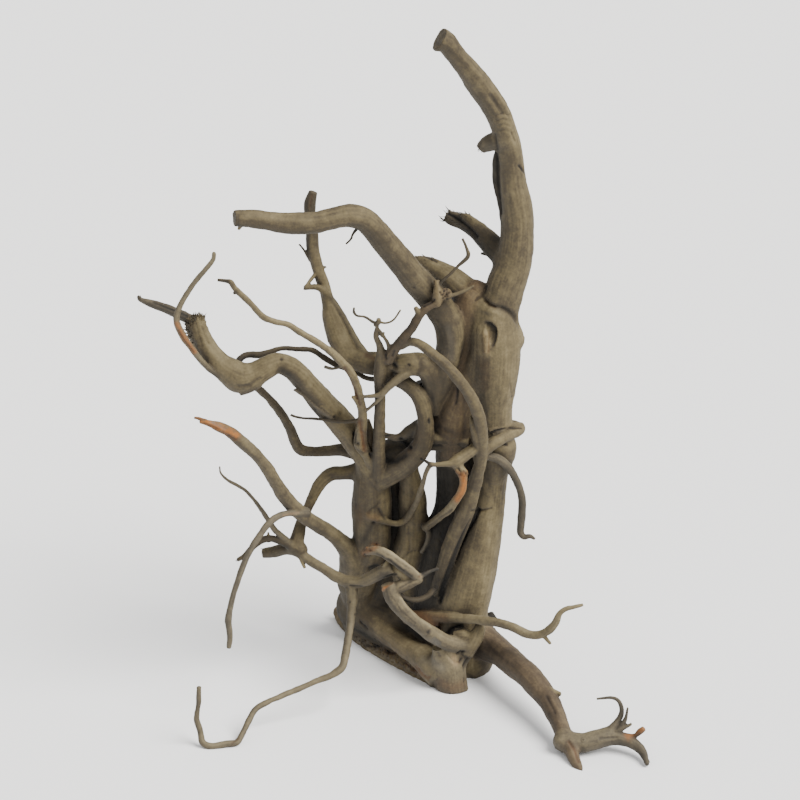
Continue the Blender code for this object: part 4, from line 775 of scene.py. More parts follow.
mark("pale_return pale_leg", [(-10.5, -114), (-7.5, -110.5), (-3.5, -107.6), (1.5, -105.6)], 0.9, -0.6,
     tone=0.12, warmth=0.75)
mark("pale_return pale_leg low_root pale_root", [(-7.5, -107), (-5, -105.8), (-2.6, -105)], 1.0, 1.6,
     tone=-0.40)
mark("pale_return pale_leg", [(-8.8, -112.5), (-4.5, -109.6)], 0.5, 0.7, tone=-0.2, warmth=0.5)
mark("pale_return", [(0, -113), (6, -109.5)], 0.6, 0.5, tone=-0.14)
mark("pale_leg", [(0.5, -119), (4, -124.5), (9.5, -130), (18, -136.5)], 0.8, -0.5, tone=0.14)
mark("pale_leg", [(16.4, -139.2), (17.2, -138.4)], 1.1, 0.6, tone=-0.34, ragged=0.7)
mark("pale_leg", [(-5, -118), (1, -127), (9, -134)], 0.5, 0.35, tone=-0.10, ragged=0.4)
mark("pale_leg", [(-8.5, -114), (-6.5, -121), (-2, -127)], 0.6, 0.3, tone=-0.10, ragged=0.5)
mark("pale_leg", [(15.2, -136.2), (17.2, -141)], 2.6, -0.5, tone=-0.03)
mark("pale_leg", [(19.5, -144), (23, -146.5)], 1.6, 0.6, tone=-0.14, bleach_and_shade_grey=0.5, ragged=1.2)
mark("pale_leg front_left front_middle front_right", [(34.4, -152.4), (35.8, -151.2), (38.2, -151.4)],
     0.6, 1.0, tone=-0.36, ragged=0.5)
mark("pale_leg front_left front_middle front_right", [(36.8, -155), (35.8, -157.6)],
     0.6, 1.0, tone=-0.36, ragged=0.5)
mark("pale_leg front_left front_middle front_right", [(32, -155), (34, -158)],
     2.2, 0.5, tone=0.08, warmth=0.15, ragged=1.2)
mark("pale_leg front_left front_middle front_right", [(22.5, -151.6), (24, -154)], 0.9, 0.5, tone=-0.10)
mark("pale_leg front_left front_middle front_right", [(28, -153), (32, -157.5)], 0.5, 0.5, tone=0.10)
mark("right_root core bay dish", [(21.5, -136.6), (25, -139), (28, -138.6)],
     1.7, 1.4, tone=-0.34, warmth=0.35,
     ragged=0.9)
mark("right_root core column dish bay", [(28, -140.6), (31, -137.6), (36.5, -136)], 1.1, 1.8, tone=-0.42)
mark("right_root bay", [(10, -129.5), (18, -130.5), (26, -131.5)], 3.6, tone=-0.12, warmth=0.14)
# Painted shade in the gap beside the front lobe, and its left edge
mark("front_right right_lobe", [(42.5, -151.5), (39.4, -158), (37, -164), (38, -169)], 1.1, 1.6, tone=-0.30)
mark("front_left sill_ridge sill", [(19, -160), (20, -164), (22, -168)], 0.7, 0.3, tone=-0.08, ragged=0.8)
mark("front_left front_middle front_right sill", [(24, -170), (31, -173), (38, -171)],
     3.2, 0.2, tone=-0.06, warmth=0.12)
mark("front_left front_middle sill_ridge lobe_web", [(14, -156), (21, -158), (25, -161)],
     3.0, 0.2, bleach_and_shade_grey=0.2)
# The rough sawn edge, with its cracks and torn fibres
mark("sill sill_ridge", [(-26, -131), (-22.5, -134.5), (-19.5, -137.5)], 0.6, 0.9, tone=-0.26, ragged=0.4)
mark("sill sill_ridge", [(-25.6, -136), (-24.6, -137)], 0.9, 1.0, tone=-0.38)
mark("sill sill_ridge", [(-22, -147), (-16, -147.8), (-11, -147)], 0.8, 1.0, tone=-0.28, ragged=0.8)
mark("sill sill_ridge", [(-9, -150), (-5.5, -152), (-3, -152)], 0.9, 1.0, tone=-0.26, warmth=0.15, ragged=1.0)
mark("sill sill_ridge", [(3, -157), (6, -160.6), (8, -162)], 0.7, 1.0, tone=-0.28, warmth=0.2, ragged=0.9)
mark("sill sill_ridge", [(9, -161), (13, -164.6), (17, -166)], 1.6, 0.9, tone=-0.16, warmth=0.3, ragged=1.0)
mark("sill sill_ridge", [(-28, -139), (-20, -143), (-14, -146)], 1.4, 0.8, tone=-0.12, ragged=1.2)
mark("sill", [(-34, -134), (-20, -147), (-4, -157), (14, -167)], 1.4, 0.9, tone=-0.08, ragged=2.0)
mark("sill", [(-30, -141), (-14, -152), (2, -161.5), (18, -170.5)], 1.3, 0.7, tone=0.03, bleach_and_shade_grey=0.35,
     ragged=2.0)
mark("leg", [(52, -146), (60, -153), (68, -160)], 2.2, 0.3, tone=-0.08)
mark("leg", [(88, -178), (93, -188)], 0.9, 0.5, tone=-0.14)
mark("leg toe", [(101, -205), (105, -210), (107, -217)], 0.8, 0.7, tone=-0.16, warmth=0.2)
mark("toe", [(110, -204)], 1.4, 0.7, tone=-0.28, rings=0.8)
mark("toe", [(120, -203), (130, -202.5)], 0.7, 0.5, tone=-0.15)
mark("orange_claw side_claw toe", [(137, -201.5), (142, -199), (146, -197.5)], 2.2, tone=-0.02, warmth=0.8,
     ragged=0.8)

# One skin over every limb
# The root is a single piece of wood, so its limbs are fused: a fine skin is drawn round all of
# them, then pulled onto their true roundness, with a fillet where one limb grows out of another.
VOXEL = 0.00066
THINNEST_TUBE = 0.00075
FILLET_RANGE = (0.0006, 0.0050)
CAP_ROUNDING = 0.0006
SAWN_EDGE_ROUNDING = 0.0007
FAR = 1.0

guides = bpy.data.curves.new("limb_guides", "CURVE")
guides.dimensions = "3D"
guides.bevel_depth = 1.0
guides.bevel_resolution = 4
guides.use_fill_caps = True
for limb in limbs:
    spline = guides.splines.new("POLY")
    spline.points.add(len(limb["spine"]) - 1)
    for point, middle, radius in zip(spline.points, limb["spine"], limb["radius"]):
        point.co = (*middle, 1.0)
        point.radius = max(radius, THINNEST_TUBE)
guide = bpy.data.objects.new("limb_guides", guides)
bpy.context.scene.collection.objects.link(guide)
tubes = bpy.data.meshes.new_from_object(guide.evaluated_get(bpy.context.evaluated_depsgraph_get()))
bpy.data.objects.remove(guide)

skin = bpy.data.objects.new("skin", tubes)
bpy.context.scene.collection.objects.link(skin)
remesh = skin.modifiers.new("skin", "REMESH")
remesh.mode = "VOXEL"
remesh.voxel_size = VOXEL
skin_mesh = bpy.data.meshes.new_from_object(skin.evaluated_get(bpy.context.evaluated_depsgraph_get()))
bpy.data.objects.remove(skin)

skin_points = np.empty(len(skin_mesh.vertices) * 3)
skin_mesh.vertices.foreach_get("co", skin_points)
skin_points = skin_points.reshape(-1, 3)
skin_quads = np.empty(len(skin_mesh.polygons) * 4, np.int64)
skin_mesh.polygons.foreach_get("vertices", skin_quads)
skin_quads = skin_quads.reshape(-1, 4)


def main_body(count, quads):
    """Marks the points of the largest connected body."""
    label = np.arange(count)
    while True:
        lowest = label[quads].min(1)
        before = label.copy()
        for corner in range(4):
            np.minimum.at(label, quads[:, corner], lowest)
        label = label[label]
        if (label == before).all():
            return label == np.bincount(label).argmax()


kept = main_body(len(skin_points), skin_quads)
new_number = np.cumsum(kept) - 1
skin_quads = new_number[skin_quads[kept[skin_quads[:, 0]]]]
skin_points = skin_points[kept]


def noise_at(points, seed):
    """Smooth noise from -1 to 1, about one bump to each unit."""
    cell = np.floor(points).astype(np.int64)
    part = points - cell
    fade = part * part * (3 - 2 * part)
    total = np.zeros(len(points))
    for corner in itertools.product((0, 1), repeat=3):
        key = (cell + corner) @ np.array((73856093, 19349663, 83492791)) + seed * 2654435
        key = (key ^ (key >> 13)) * 1274126177
        key = (key ^ (key >> 16)) & 0xFFFF
        weight = np.where(np.array(corner) == 1, fade, 1 - fade).prod(1)
        total += weight * (key / 32767.5 - 1)
    return total


STRETCH = 14
for limb in limbs:
    limb["stretches"] = []
    for first in range(0, len(limb["spine"]), STRETCH):
        part = slice(first, first + STRETCH + 1)
        some, radius = limb["spine"][part], limb["radius"][part].max()
        limb["stretches"].append((first, some, some.min(0) - radius, some.max(0) + radius))


def follow(limb, points, reach):
    """The points that are near a limb, and for each of them the nearest place on its spine, as a
    segment, a share along it, and the way and distance from there."""
    spine = limb["spine"]
    smallest = np.full(len(points), FAR)
    nearest = np.zeros(len(points), np.int64)
    for first, some, low, high in limb["stretches"]:
        inside = np.flatnonzero(((points > low - reach) & (points < high + reach)).all(1))
        if not len(inside):
            continue
        squares = (some ** 2).sum(1) - 2 * (points[inside] @ some.T)
        here = squares.argmin(1)
        least = squares[np.arange(len(inside)), here]
        better = least < smallest[inside]
        smallest[inside[better]] = least[better]
        nearest[inside[better]] = here[better] + first
    near = np.flatnonzero(smallest < FAR)
    points, nearest = points[near], nearest[near]
    best = None
    for start in (np.maximum(nearest - 1, 0), np.minimum(nearest, len(spine) - 2)):
        run = spine[start + 1] - spine[start]
        share = ((points - spine[start]) * run).sum(1) / (run ** 2).sum(1)
        share = share.clip(0, 1)
        away = points - spine[start] - run * share[:, None]
        distance = np.linalg.norm(away, axis=1)
        if best is None:
            best = [start, share, away, distance]
        else:
            nearer = distance < best[3]
            for old, new in zip(best, (start, share, away, distance)):
                old[nearer] = new[nearer]
    return near, best


def between(values, start, share):
    """A value along a limb, read between its stations."""
    if values.ndim > 1:
        share = share[:, None]
    return values[start] * (1 - share) + values[start + 1] * share


def soft_max(a, b, width):
    share = (0.5 + 0.5 * (a - b) / width).clip(0, 1)
    return b * (1 - share) + a * share + width * share * (1 - share)


RIB_LENGTH, RIB_WIDTH = 0.024, 0.0015
FLUTE_LENGTH, FLUTE_WIDTH = 0.055, 0.0060
RING_LENGTH = 0.0024


def limb_looks(limb, start, share, away, radius, seed):
    """Height of the grain, its streaks, tone, warmth and bleach for points near a limb."""
    along = between(limb["along"], start, share)
    across = (away * between(limb["side"], start, share)).sum(1)
    upward = (away * between(limb["other"], start, share)).sum(1)
    round_about = np.column_stack((across, upward))
    grain = np.column_stack((along / RIB_LENGTH, round_about / RIB_WIDTH))
    flute = np.column_stack((along / FLUTE_LENGTH, round_about / FLUTE_WIDTH))
    ring = np.column_stack((along / RING_LENGTH, round_about / 0.011))
    ribs = noise_at(grain, seed) + 0.5 * noise_at(grain * (1.3, 2.1, 2.1), seed + 7)
    height = 0.055 * radius * noise_at(flute, seed + 1)
    height += np.minimum(0.00009, 0.035 * radius) * limb["ribs"] * ribs
    height += np.minimum(0.00007, 0.03 * radius) * noise_at(ring, seed + 2)
    streak = noise_at(grain * (0.8, 1.7, 1.7), seed + 3)
    tone = between(limb["tone"], start, share) + 0.06 * noise_at(flute * (2.2, 1, 1), seed + 4)
    plain = np.ones(len(along))
    return np.column_stack((height, streak, tone, plain * limb["warmth"], plain * limb["bleach_and_shade_grey"]))


eye_middle = place([(*EYE_MIDDLE, 1.0)])[0, :3]
EYE_RADII = np.array(EYE_HALF) * MM
EYE_ROUNDING = 0.0009
thick_first = sorted(limbs, key=lambda limb: -limb["radius"].max())


def measure(points, reach, with_looks=False):
    """Height above the wood, the way out, and if asked each point's looks and the limb it is on."""
    gap = np.full(len(points), FAR)
    out = np.zeros((len(points), 3))
    looks = np.zeros((len(points), 5))
    owner = np.full(len(points), -1)
    for number, limb in enumerate(thick_first):
        box = ((points > limb["low"] - reach) & (points < limb["high"] + reach)).all(1)
        box = np.flatnonzero(box)
        for some in np.array_split(box, len(box) // 40000 + 1):
            near, (start, share, away, distance) = follow(limb, points[some], reach)
            some = some[near]
            if not len(some):
                continue
            radius = between(limb["radius"], start, share)
            height = distance - radius
            way = away / np.maximum(distance, 1e-9)[:, None]
            last = len(limb["spine"]) - 2
            at_end = (start >= last - 1) & (limb["radius"][-1] > 0.0008)
            if at_end.any():
                end, heading = limb["spine"][-1], limb["ahead"][-1]
                from_end = points[some][at_end] - end
                beyond = from_end @ heading
                aside = from_end - beyond[:, None] * heading
                sideways = np.linalg.norm(aside, axis=1)
                if limb["broken"]:
                    torn = np.column_stack((aside / 0.0011, beyond * 0))[:, :3]
                    beyond = beyond + limb["broken"] * (0.5 + 0.5 * noise_at(torn, number))
                past = share[at_end] >= 1
                edge = np.where(past, sideways - limb["radius"][-1], height[at_end])
                width = CAP_ROUNDING
                part = (0.5 + 0.5 * (beyond - edge) / width).clip(0, 1)[:, None]
                height[at_end] = soft_max(beyond, edge, width)
                side = np.where(past[:, None], aside / np.maximum(sideways, 1e-9)[:, None],
                                way[at_end])
                way[at_end] = side * (1 - part) + heading * part
            soft = (radius * limb["fillet"]).clip(*FILLET_RANGE)
            mix = (0.5 + 0.5 * (gap[some] - height) / soft).clip(0, 1)
            gap[some] = gap[some] * (1 - mix) + height * mix - soft * mix * (1 - mix)
            out[some] = out[some] * (1 - mix[:, None]) + way * mix[:, None]
            if with_looks:
                seen = mix > 0.01
                here = limb_looks(limb, start[seen], share[seen], away[seen], radius[seen], number * 11)
                part, some = mix[seen, None], some[seen]
                looks[some] = looks[some] * (1 - part) + here * part
                owner[some[part[:, 0] > 0.5]] = number
    hole = (points - eye_middle) / EYE_RADII
    stretched = np.linalg.norm(hole, axis=1)
    slope = np.maximum(np.linalg.norm(hole / EYE_RADII, axis=1), 1e-9)
    depth_in_hole = stretched * (1 - stretched) / slope
    hole_part = (0.5 + 0.5 * (depth_in_hole - gap) / EYE_ROUNDING).clip(0, 1)[:, None]
    gap = soft_max(depth_in_hole, gap, EYE_ROUNDING)
    out = out * (1 - hole_part) - hole / EYE_RADII / slope[:, None] * hole_part
    floor_part = (0.5 + 0.5 * (-points[:, 2] - gap) / SAWN_EDGE_ROUNDING).clip(0, 1)[:, None]
    gap = soft_max(-points[:, 2], gap, SAWN_EDGE_ROUNDING)
    out = out * (1 - floor_part) + np.array((0.0, 0.0, -1.0)) * floor_part
    out /= np.maximum(np.linalg.norm(out, axis=1), 1e-9)[:, None]
    return gap, out, looks, owner


PULLS = (0.0022, 0.0018, 0.0012, 0.0006)
PULL_REACH = 0.004
for strongest in PULLS:
    gap, out, _, _ = measure(skin_points, PULL_REACH)
    skin_points -= out * gap.clip(-strongest, strongest)[:, None]
gap, out, looks, owner = measure(skin_points, PULL_REACH, with_looks=True)

# Colour of the wood
# Weathered moor wood: grey-brown where it was rubbed, redder where it broke, with painted shade in its
# hollows.
# Its grain and marks are moved into the skin itself, and its fine grit is in the material.
# How shut in each point is, by how little open room lies in front of it; it damps the grain there, and the
# material darkens these places as painted shade
OPEN_REACHES = (0.0025, 0.008)
hollow = np.zeros(len(skin_points))
for reach in OPEN_REACHES:
    clear, _, _, _ = measure(skin_points + out * reach, reach + 0.001)
    hollow += (1 - (clear / reach).clip(0, 1)) / len(OPEN_REACHES)

TOWARDS_VIEWER = EYE / VIEW_DISTANCE
LUMPS = ((0.011, 0.00034), (0.0042, 0.00020), (0.0018, 0.00009))
RAGGED_SIZE = 0.0013
SAWN_SIZE = 0.0022
SAWN_DEPTH = 0.00055


def picture_plane(points):
    """Where a viewer sees real points, in millimetres across and up."""
    seen = points + BASE_MIDDLE
    reach = VIEW_DISTANCE / (VIEW_DISTANCE - seen @ TOWARDS_VIEWER)
    on_plane = EYE + (seen - EYE) * reach[:, None]
    return np.column_stack((on_plane[:, 0], on_plane @ VIEW_UP)) / MM


height, streak, tone, warmth, bleach_and_shade_grey = looks.T.copy()
height *= 1 - hollow
local_radius = np.array([limb["radius"].mean() for limb in thick_first])[owner]
for number, (size, amount) in enumerate(LUMPS):
    height += np.minimum(amount, 0.09 * local_radius) * noise_at(skin_points / size, 300 + number)
facing = ((out @ TOWARDS_VIEWER) * 2.5).clip(0, 1)
in_picture = picture_plane(skin_points)
names = [limb["name"] for limb in thick_first]
for number, spot in enumerate(marks):
    line, width = spot["line"], spot["width"]
    owned = np.isin(owner, [names.index(name) for name in spot["owners"]])
    margin = 3 * width + spot["ragged"]
    box = (in_picture > line.min(0) - margin) & (in_picture < line.max(0) + margin)
    near = np.flatnonzero(owned & box.all(1) & (facing > 0))
    here = in_picture[near]
    distance = np.linalg.norm(here - line[0], axis=1)
    for start, run in zip(line, np.diff(line, axis=0)):
        share = (((here - start) @ run) / (run @ run)).clip(0, 1)
        distance = np.minimum(distance, np.linalg.norm(here - start - share[:, None] * run, axis=1))
    if spot["ragged"]:
        distance = distance + spot["ragged"] * noise_at(skin_points[near] / RAGGED_SIZE, 500 + number)
    share = np.exp(-(distance / width) ** 2) * facing[near]
    ripple = np.cos(distance / width * spot["rings"] * math.tau)
    height[near] -= spot["depth"] * MM * share * ripple
    tone[near] += spot["tone"] * share * (0.6 + 0.4 * ripple)
    warmth[near] += spot["warmth"] * share
    bleach_and_shade_grey[near] += spot["bleach_and_shade_grey"] * share
rough = np.isin(owner, [names.index("sill"), names.index("heel_knob")])
height[rough] += SAWN_DEPTH * noise_at(skin_points[rough] / SAWN_SIZE, 77)
skin_points += out * height[:, None]
skin_points[:, 2] = skin_points[:, 2].clip(0, None)

corner = skin_points[skin_quads]
square = np.cross(corner[:, 2] - corner[:, 0], corner[:, 3] - corner[:, 1])
lie = np.zeros_like(skin_points)
for number in range(4):
    for axis in range(3):
        lie[:, axis] += np.bincount(skin_quads[:, number], square[:, axis], len(skin_points))
lie /= np.maximum(np.linalg.norm(lie, axis=1), 1e-12)[:, None]

# Painted light and shade: faces that look up and towards the lamp on the right are made lighter,
# and undersides are made darker and greyer
PAINTED_LIGHT_SIDE = np.array((0.50, -0.20, 0.84))
PAINTED_LIGHT = 0.13
PAINTED_SHADE_GREY = 0.22
SHADE = -0.02
tone += SHADE + PAINTED_LIGHT * (lie @ PAINTED_LIGHT_SIDE)
# Painted shade: undersides are mixed towards grey, in the same channel as the wood's bleach
bleach_and_shade_grey += PAINTED_SHADE_GREY * (0.3 - lie @ PAINTED_LIGHT_SIDE).clip(0, 1)
wood_values = {
    "streak": streak, "tone": tone, "warmth": warmth.clip(0, 1), "bleach_and_shade_grey": bleach_and_shade_grey.clip(0, 1),
    "hollow": hollow}
STREAK_SHARE = 0.060
HOLLOW_SHADE = 0.19
# How close together each kind of speckle is, its detail, and how much it changes the tone
SPECKLES = {"patches": (42.0, 3.0, 0.24), "spots": (190.0, 4.0, 0.26), "grit": (700.0, 3.0, 0.20)}
BROWN = ((0.0, (0.0030, 0.0026, 0.0020)), (0.22, (0.0130, 0.0102, 0.0065)),
         (0.45, (0.046, 0.0345, 0.0185)), (0.62, (0.105, 0.0815, 0.0400)),
         (0.80, (0.180, 0.146, 0.078)), (1.0, (0.300, 0.262, 0.175)))
RED_BROWN = ((0.0, (0.014, 0.005, 0.0015)), (1.0, (0.425, 0.150, 0.024)))
GREY = ((0.0, (0.008, 0.0075, 0.007)), (1.0, (0.330, 0.305, 0.250)))


def wood_material():
    material = bpy.data.materials.new("moor_wood")
    material.use_nodes = True
    nodes, links = material.node_tree.nodes, material.node_tree.links
    shader = nodes["Principled BSDF"]

    def value_of(name):
        node = nodes.new("ShaderNodeAttribute")
        node.attribute_name = name
        return node.outputs["Fac"]

    def combine(operation, a, b, clamp=False):
        node = nodes.new("ShaderNodeMath")
        node.operation = operation
        node.use_clamp = clamp
        for socket, value in zip(node.inputs, (a, b)):
            if isinstance(value, (int, float)):
                socket.default_value = value
            else:
                links.new(value, socket)
        return node.outputs["Value"]

    def blend_colour(share, a, b):
        node = nodes.new("ShaderNodeMix")
        node.data_type = "RGBA"
        links.new(share, node.inputs["Factor"])
        for socket, value in zip((node.inputs[6], node.inputs[7]), (a, b)):
            if isinstance(value, tuple):
                socket.default_value = value
            else:
                links.new(value, socket)
        return node.outputs[2]

    where = nodes.new("ShaderNodeTexCoord").outputs["Object"]

    def speckle(scale, detail):
        node = nodes.new("ShaderNodeTexNoise")
        node.inputs["Scale"].default_value = scale
        node.inputs["Detail"].default_value = detail
        links.new(where, node.inputs["Vector"])
        return combine("SUBTRACT", node.outputs["Fac"], 0.5)

    speckles = {title: speckle(scale, detail) for title, (scale, detail, _) in SPECKLES.items()}
    tone = combine("ADD", value_of("tone"), combine("MULTIPLY", value_of("streak"), STREAK_SHARE))
    for title, (_, _, strength) in SPECKLES.items():
        tone = combine("ADD", tone, combine("MULTIPLY", speckles[title], strength))
    # Painted shade: the hollows are made darker
    shade = combine("MULTIPLY", value_of("hollow"), HOLLOW_SHADE)
    tone = combine("SUBTRACT", tone, shade, clamp=True)

    def ramp_of(stops):
        node = nodes.new("ShaderNodeValToRGB")
        points = node.color_ramp.elements
        for place, (position, colour) in ((0, stops[0]), (1, stops[-1])):
            points[place].position = position
            points[place].color = (*colour, 1.0)
        for position, colour in stops[1:-1]:
            points.new(position).color = (*colour, 1.0)
        links.new(tone, node.inputs["Fac"])
        return node.outputs["Color"]

    colour = blend_colour(value_of("warmth"), ramp_of(BROWN), ramp_of(RED_BROWN))
    colour = blend_colour(value_of("bleach_and_shade_grey"), colour, ramp_of(GREY))
    links.new(colour, shader.inputs["Base Color"])
    rough = combine("ADD", combine("MULTIPLY", speckles["grit"], 0.25), 0.78, clamp=True)
    links.new(rough, shader.inputs["Roughness"])
    shader.inputs["Specular IOR Level"].default_value = 0.32
    bump = nodes.new("ShaderNodeBump")
    bump.inputs["Strength"].default_value = 0.35
    bump.inputs["Distance"].default_value = 0.0006
    links.new(speckles["grit"], bump.inputs["Height"])
    links.new(bump.outputs["Normal"], shader.inputs["Normal"])
    return material


moor_wood = wood_material()

# Lengths of the root
# The fine skin is too heavy for one mesh, so it is cut level into lengths that meet face to face.
# They are cut and capped in millimetres, where the short edges of a cut aren't taken for points.
CUT_HEIGHTS = (0.031, 0.078, 0.115, 0.150, 0.206, 0.262)
CUT_STEP = 0.0007
CUT_TRIES = 9
LENGTH_NAMES = ("root_foot", "root_base", "root_waist", "root_lower", "root_middle", "root_upper",
                "root_crown")
HAIR = 0.0001
LEVEL_FACE = 0.9999
skin_tops = skin_points[skin_quads, 2].max(1)
skin_bottoms = skin_points[skin_quads, 2].min(1)


def part_of_skin(name, chosen):
    """A mesh in millimetres of some of the skin's faces, and the numbers of its points."""
    used, quads = np.unique(skin_quads[chosen], return_inverse=True)
    mesh = bpy.data.meshes.new(name)
    mesh.from_pydata((skin_points[used] / MM).tolist(), [], quads.reshape(-1, 4).tolist())
    return mesh, used


def cut_level(work, height, way):
    """Cuts the wood level and closes the cut; says whether it is closed all round."""
    cut = bmesh.ops.bisect_plane(
        work, geom=[*work.verts, *work.edges, *work.faces], dist=1e-4,
        plane_co=(0, 0, height / MM), plane_no=(0, 0, way), clear_outer=True)
    rim = [e for e in cut["geom_cut"] if isinstance(e, bmesh.types.BMEdge)]
    bmesh.ops.triangle_fill(work, use_beauty=False, edges=rim, normal=(0, 0, way))
    return all(len(e.link_faces) == 2 for e in rim)


# A cut is moved a little where folds of the skin would keep it from closing
cuts = []
for height in CUT_HEIGHTS:
    for turn in range(CUT_TRIES * 2):
        lift = (turn + 1) // 2 * (-1) ** turn * CUT_STEP
        level = height + lift
        mesh, _ = part_of_skin("trial", (skin_tops > level) & (skin_bottoms < level))
        closed = []
        for way in (-1, 1):
            work = bmesh.new()
            work.from_mesh(mesh)
            closed.append(cut_level(work, level, way))
            work.free()
        bpy.data.meshes.remove(mesh)
        if all(closed):
            break
    cuts.append(level)

edges = (-FAR, *cuts, FAR)
for name, bottom, top in zip(LENGTH_NAMES, edges, edges[1:]):
    mesh, used = part_of_skin(name, (skin_tops > bottom - HAIR) & (skin_bottoms < top + HAIR))
    for value_name, values in wood_values.items():
        layer = mesh.attributes.new(value_name, "FLOAT", "POINT")
        layer.data.foreach_set("value", values[used].astype(np.float32))
    layer = mesh.attributes.new("lie", "FLOAT_VECTOR", "POINT")
    layer.data.foreach_set("vector", lie[used].astype(np.float32).ravel())
    work = bmesh.new()
    work.from_mesh(mesh)
    for height, way in ((bottom, -1), (top, 1)):
        if abs(height) != FAR:
            cut_level(work, height, way)
    bmesh.ops.scale(work, vec=(MM, MM, MM), verts=work.verts)
    for face in work.faces:
        face.smooth = abs(face.normal.z) < LEVEL_FACE or min(v.co.z for v in face.verts) < HAIR
    work.to_mesh(mesh)
    work.free()
    directions = np.empty(len(mesh.vertices) * 3, np.float32)
    mesh.attributes["lie"].data.foreach_get("vector", directions)
    mesh.attributes.remove(mesh.attributes["lie"])
    mesh.normals_split_custom_set_from_vertices(directions.reshape(-1, 3).tolist())
    mesh.materials.append(moor_wood)
    piece = bpy.data.objects.new(name, mesh)
    bpy.context.scene.collection.objects.link(piece)
    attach(piece, "root")
    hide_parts("moor_root")

# Torn fibres
# Where the wood was snapped or sawn roughly, stiff fibres of it stick out. Each is a thin bent cone
# that stands on the skin, and a node tree grows them all from their places and headings.
FRAYS = [
    # limb, line across and up, reach and count, length, how much they stand off the limb
    ("thick_branch", [(-128, 45), (-124, 48.5), (-120, 51.5), (-116, 49)], 2.8, 130, 3.4, 0.35),
    ("thick_branch", [(-127.5, 44), (-125.5, 37), (-122, 29)], 2.0, 90, 3.0, 1.6),
    ("splinter", [(-134, 52), (-127, 49)], 2.6, 16, 3.2, 0.3),
    ("splinter", [(-157, 61.5), (-154, 60)], 1.0, 6, 2.4, 0.3),
    ("broken_fork", [(28, 110), (31, 112), (34, 110)], 3.0, 26, 4.2, 0.3),
    ("fork_prong", [(37, 111), (41, 109)], 2.5, 16, 3.6, 0.3),
    ("short_limb", [(9, 85), (12, 87), (20, 83)], 1.8, 22, 2.6, 0.3),
    ("stub", [(47.5, 150), (49, 152)], 2.0, 10, 2.0, 0.4),
    ("pale_root", [(-22, -92), (-17, -89)], 2.4, 26, 3.2, 0.6),
    ("pale_return", [(-9, -114), (-5, -109)], 1.8, 16, 2.6, 0.5),
    ("sill", [(-24, -146), (-6, -154), (14, -166)], 3.2, 60, 2.8, 0.5),
    ("snapped_root", [(-82, -92)], 2.6, 12, 2.2, 0.3),
    ("knotty_node", [(27, 63)], 3.2, 26, 1.5, 1.2),
    ("orange_root", [(36, -42), (38.5, -45)], 2.4, 22, 1.8, 0.9),
    ("claw_root", [(-97.5, -96)], 1.4, 4, 2.2, 0.3),
    ("toe", [(148, -217)], 2.0, 6, 2.4, 0.3),
]
FIBRE_THICKNESS = 0.00055
FIBRE_DARKENING = 0.10
FIBRE_BEND = 0.0012
FIBRE_SEED = 3
FIBRE_SCATTER = 0.22
FIBRE_SUNK = 0.0002
SHORTEST_SHARE = 0.35
LOWEST_FIBRE = 0.002
chance = np.random.default_rng(7)
spots, headings, spot_sizes, rows = [], [], [], []
for limb_name, line, reach, count, length, stand in FRAYS:
    number = names.index(limb_name)
    limb = thick_first[number]
    line = np.array(line, float)
    away = np.full(len(skin_points), FAR * 1000)
    mine = np.flatnonzero(owner == number)
    for start, end in zip(line, [*line[1:], line[-1]]):
        run = end - start
        share = ((in_picture[mine] - start) @ run / max(run @ run, 1e-9)).clip(0, 1)
        gone = np.linalg.norm(in_picture[mine] - start - share[:, None] * run, axis=1)
        away[mine] = np.minimum(away[mine], gone)
    close = np.flatnonzero((away < reach) & (skin_points[:, 2] > LOWEST_FIBRE))
    if not len(close):
        continue
    for point in chance.choice(close, count):
        along = limb["ahead"][np.linalg.norm(limb["spine"] - skin_points[point], axis=1).argmin()]
        heading = along + lie[point] * stand + chance.normal(0, FIBRE_SCATTER, 3)
        spots.append(skin_points[point] - lie[point] * FIBRE_SUNK)
        if skin_points[point, 2] < length * MM:
            heading[2] = abs(heading[2])
        headings.append(heading / np.linalg.norm(heading))
        spot_sizes.append(length * MM * chance.uniform(SHORTEST_SHARE, 1.0))
        rows.append(point)
roots_mesh = bpy.data.meshes.new("fibre_places")
roots_mesh.from_pydata([tuple(p) for p in spots], [], [])
layer = roots_mesh.attributes.new("heading", "FLOAT_VECTOR", "POINT")
layer.data.foreach_set("vector", np.array(headings, np.float32).ravel())
layer = roots_mesh.attributes.new("length", "FLOAT", "POINT")
layer.data.foreach_set("value", np.array(spot_sizes, np.float32))
for value_name, values in wood_values.items():
    layer = roots_mesh.attributes.new(value_name, "FLOAT", "POINT")
    shift = FIBRE_DARKENING if value_name == "tone" else 0.0
    layer.data.foreach_set("value", (values[rows] - shift).astype(np.float32))
fibre_places = bpy.data.objects.new("fibre_places", roots_mesh)
bpy.context.scene.collection.objects.link(fibre_places)

tree = bpy.data.node_groups.new("torn_fibres", "GeometryNodeTree")
tree.interface.new_socket("Places", in_out="INPUT", socket_type="NodeSocketGeometry")
for title in ("Thickness", "Bend"):
    tree.interface.new_socket(title, in_out="INPUT", socket_type="NodeSocketFloat")
tree.interface.new_socket("Seed", in_out="INPUT", socket_type="NodeSocketInt")
tree.interface.new_socket("Fibres", in_out="OUTPUT", socket_type="NodeSocketGeometry")
given = tree.nodes.new("NodeGroupInput")
result = tree.nodes.new("NodeGroupOutput")
cone = tree.nodes.new("GeometryNodeMeshCone")
cone.inputs["Vertices"].default_value = 5
cone.inputs["Side Segments"].default_value = 4
cone.inputs["Radius Top"].default_value = 0.12
cone.inputs["Radius Bottom"].default_value = 1.0
cone.inputs["Depth"].default_value = 1.0
turned = tree.nodes.new("FunctionNodeAlignRotationToVector")
turned.axis = "Z"
heading_of = tree.nodes.new("GeometryNodeInputNamedAttribute")
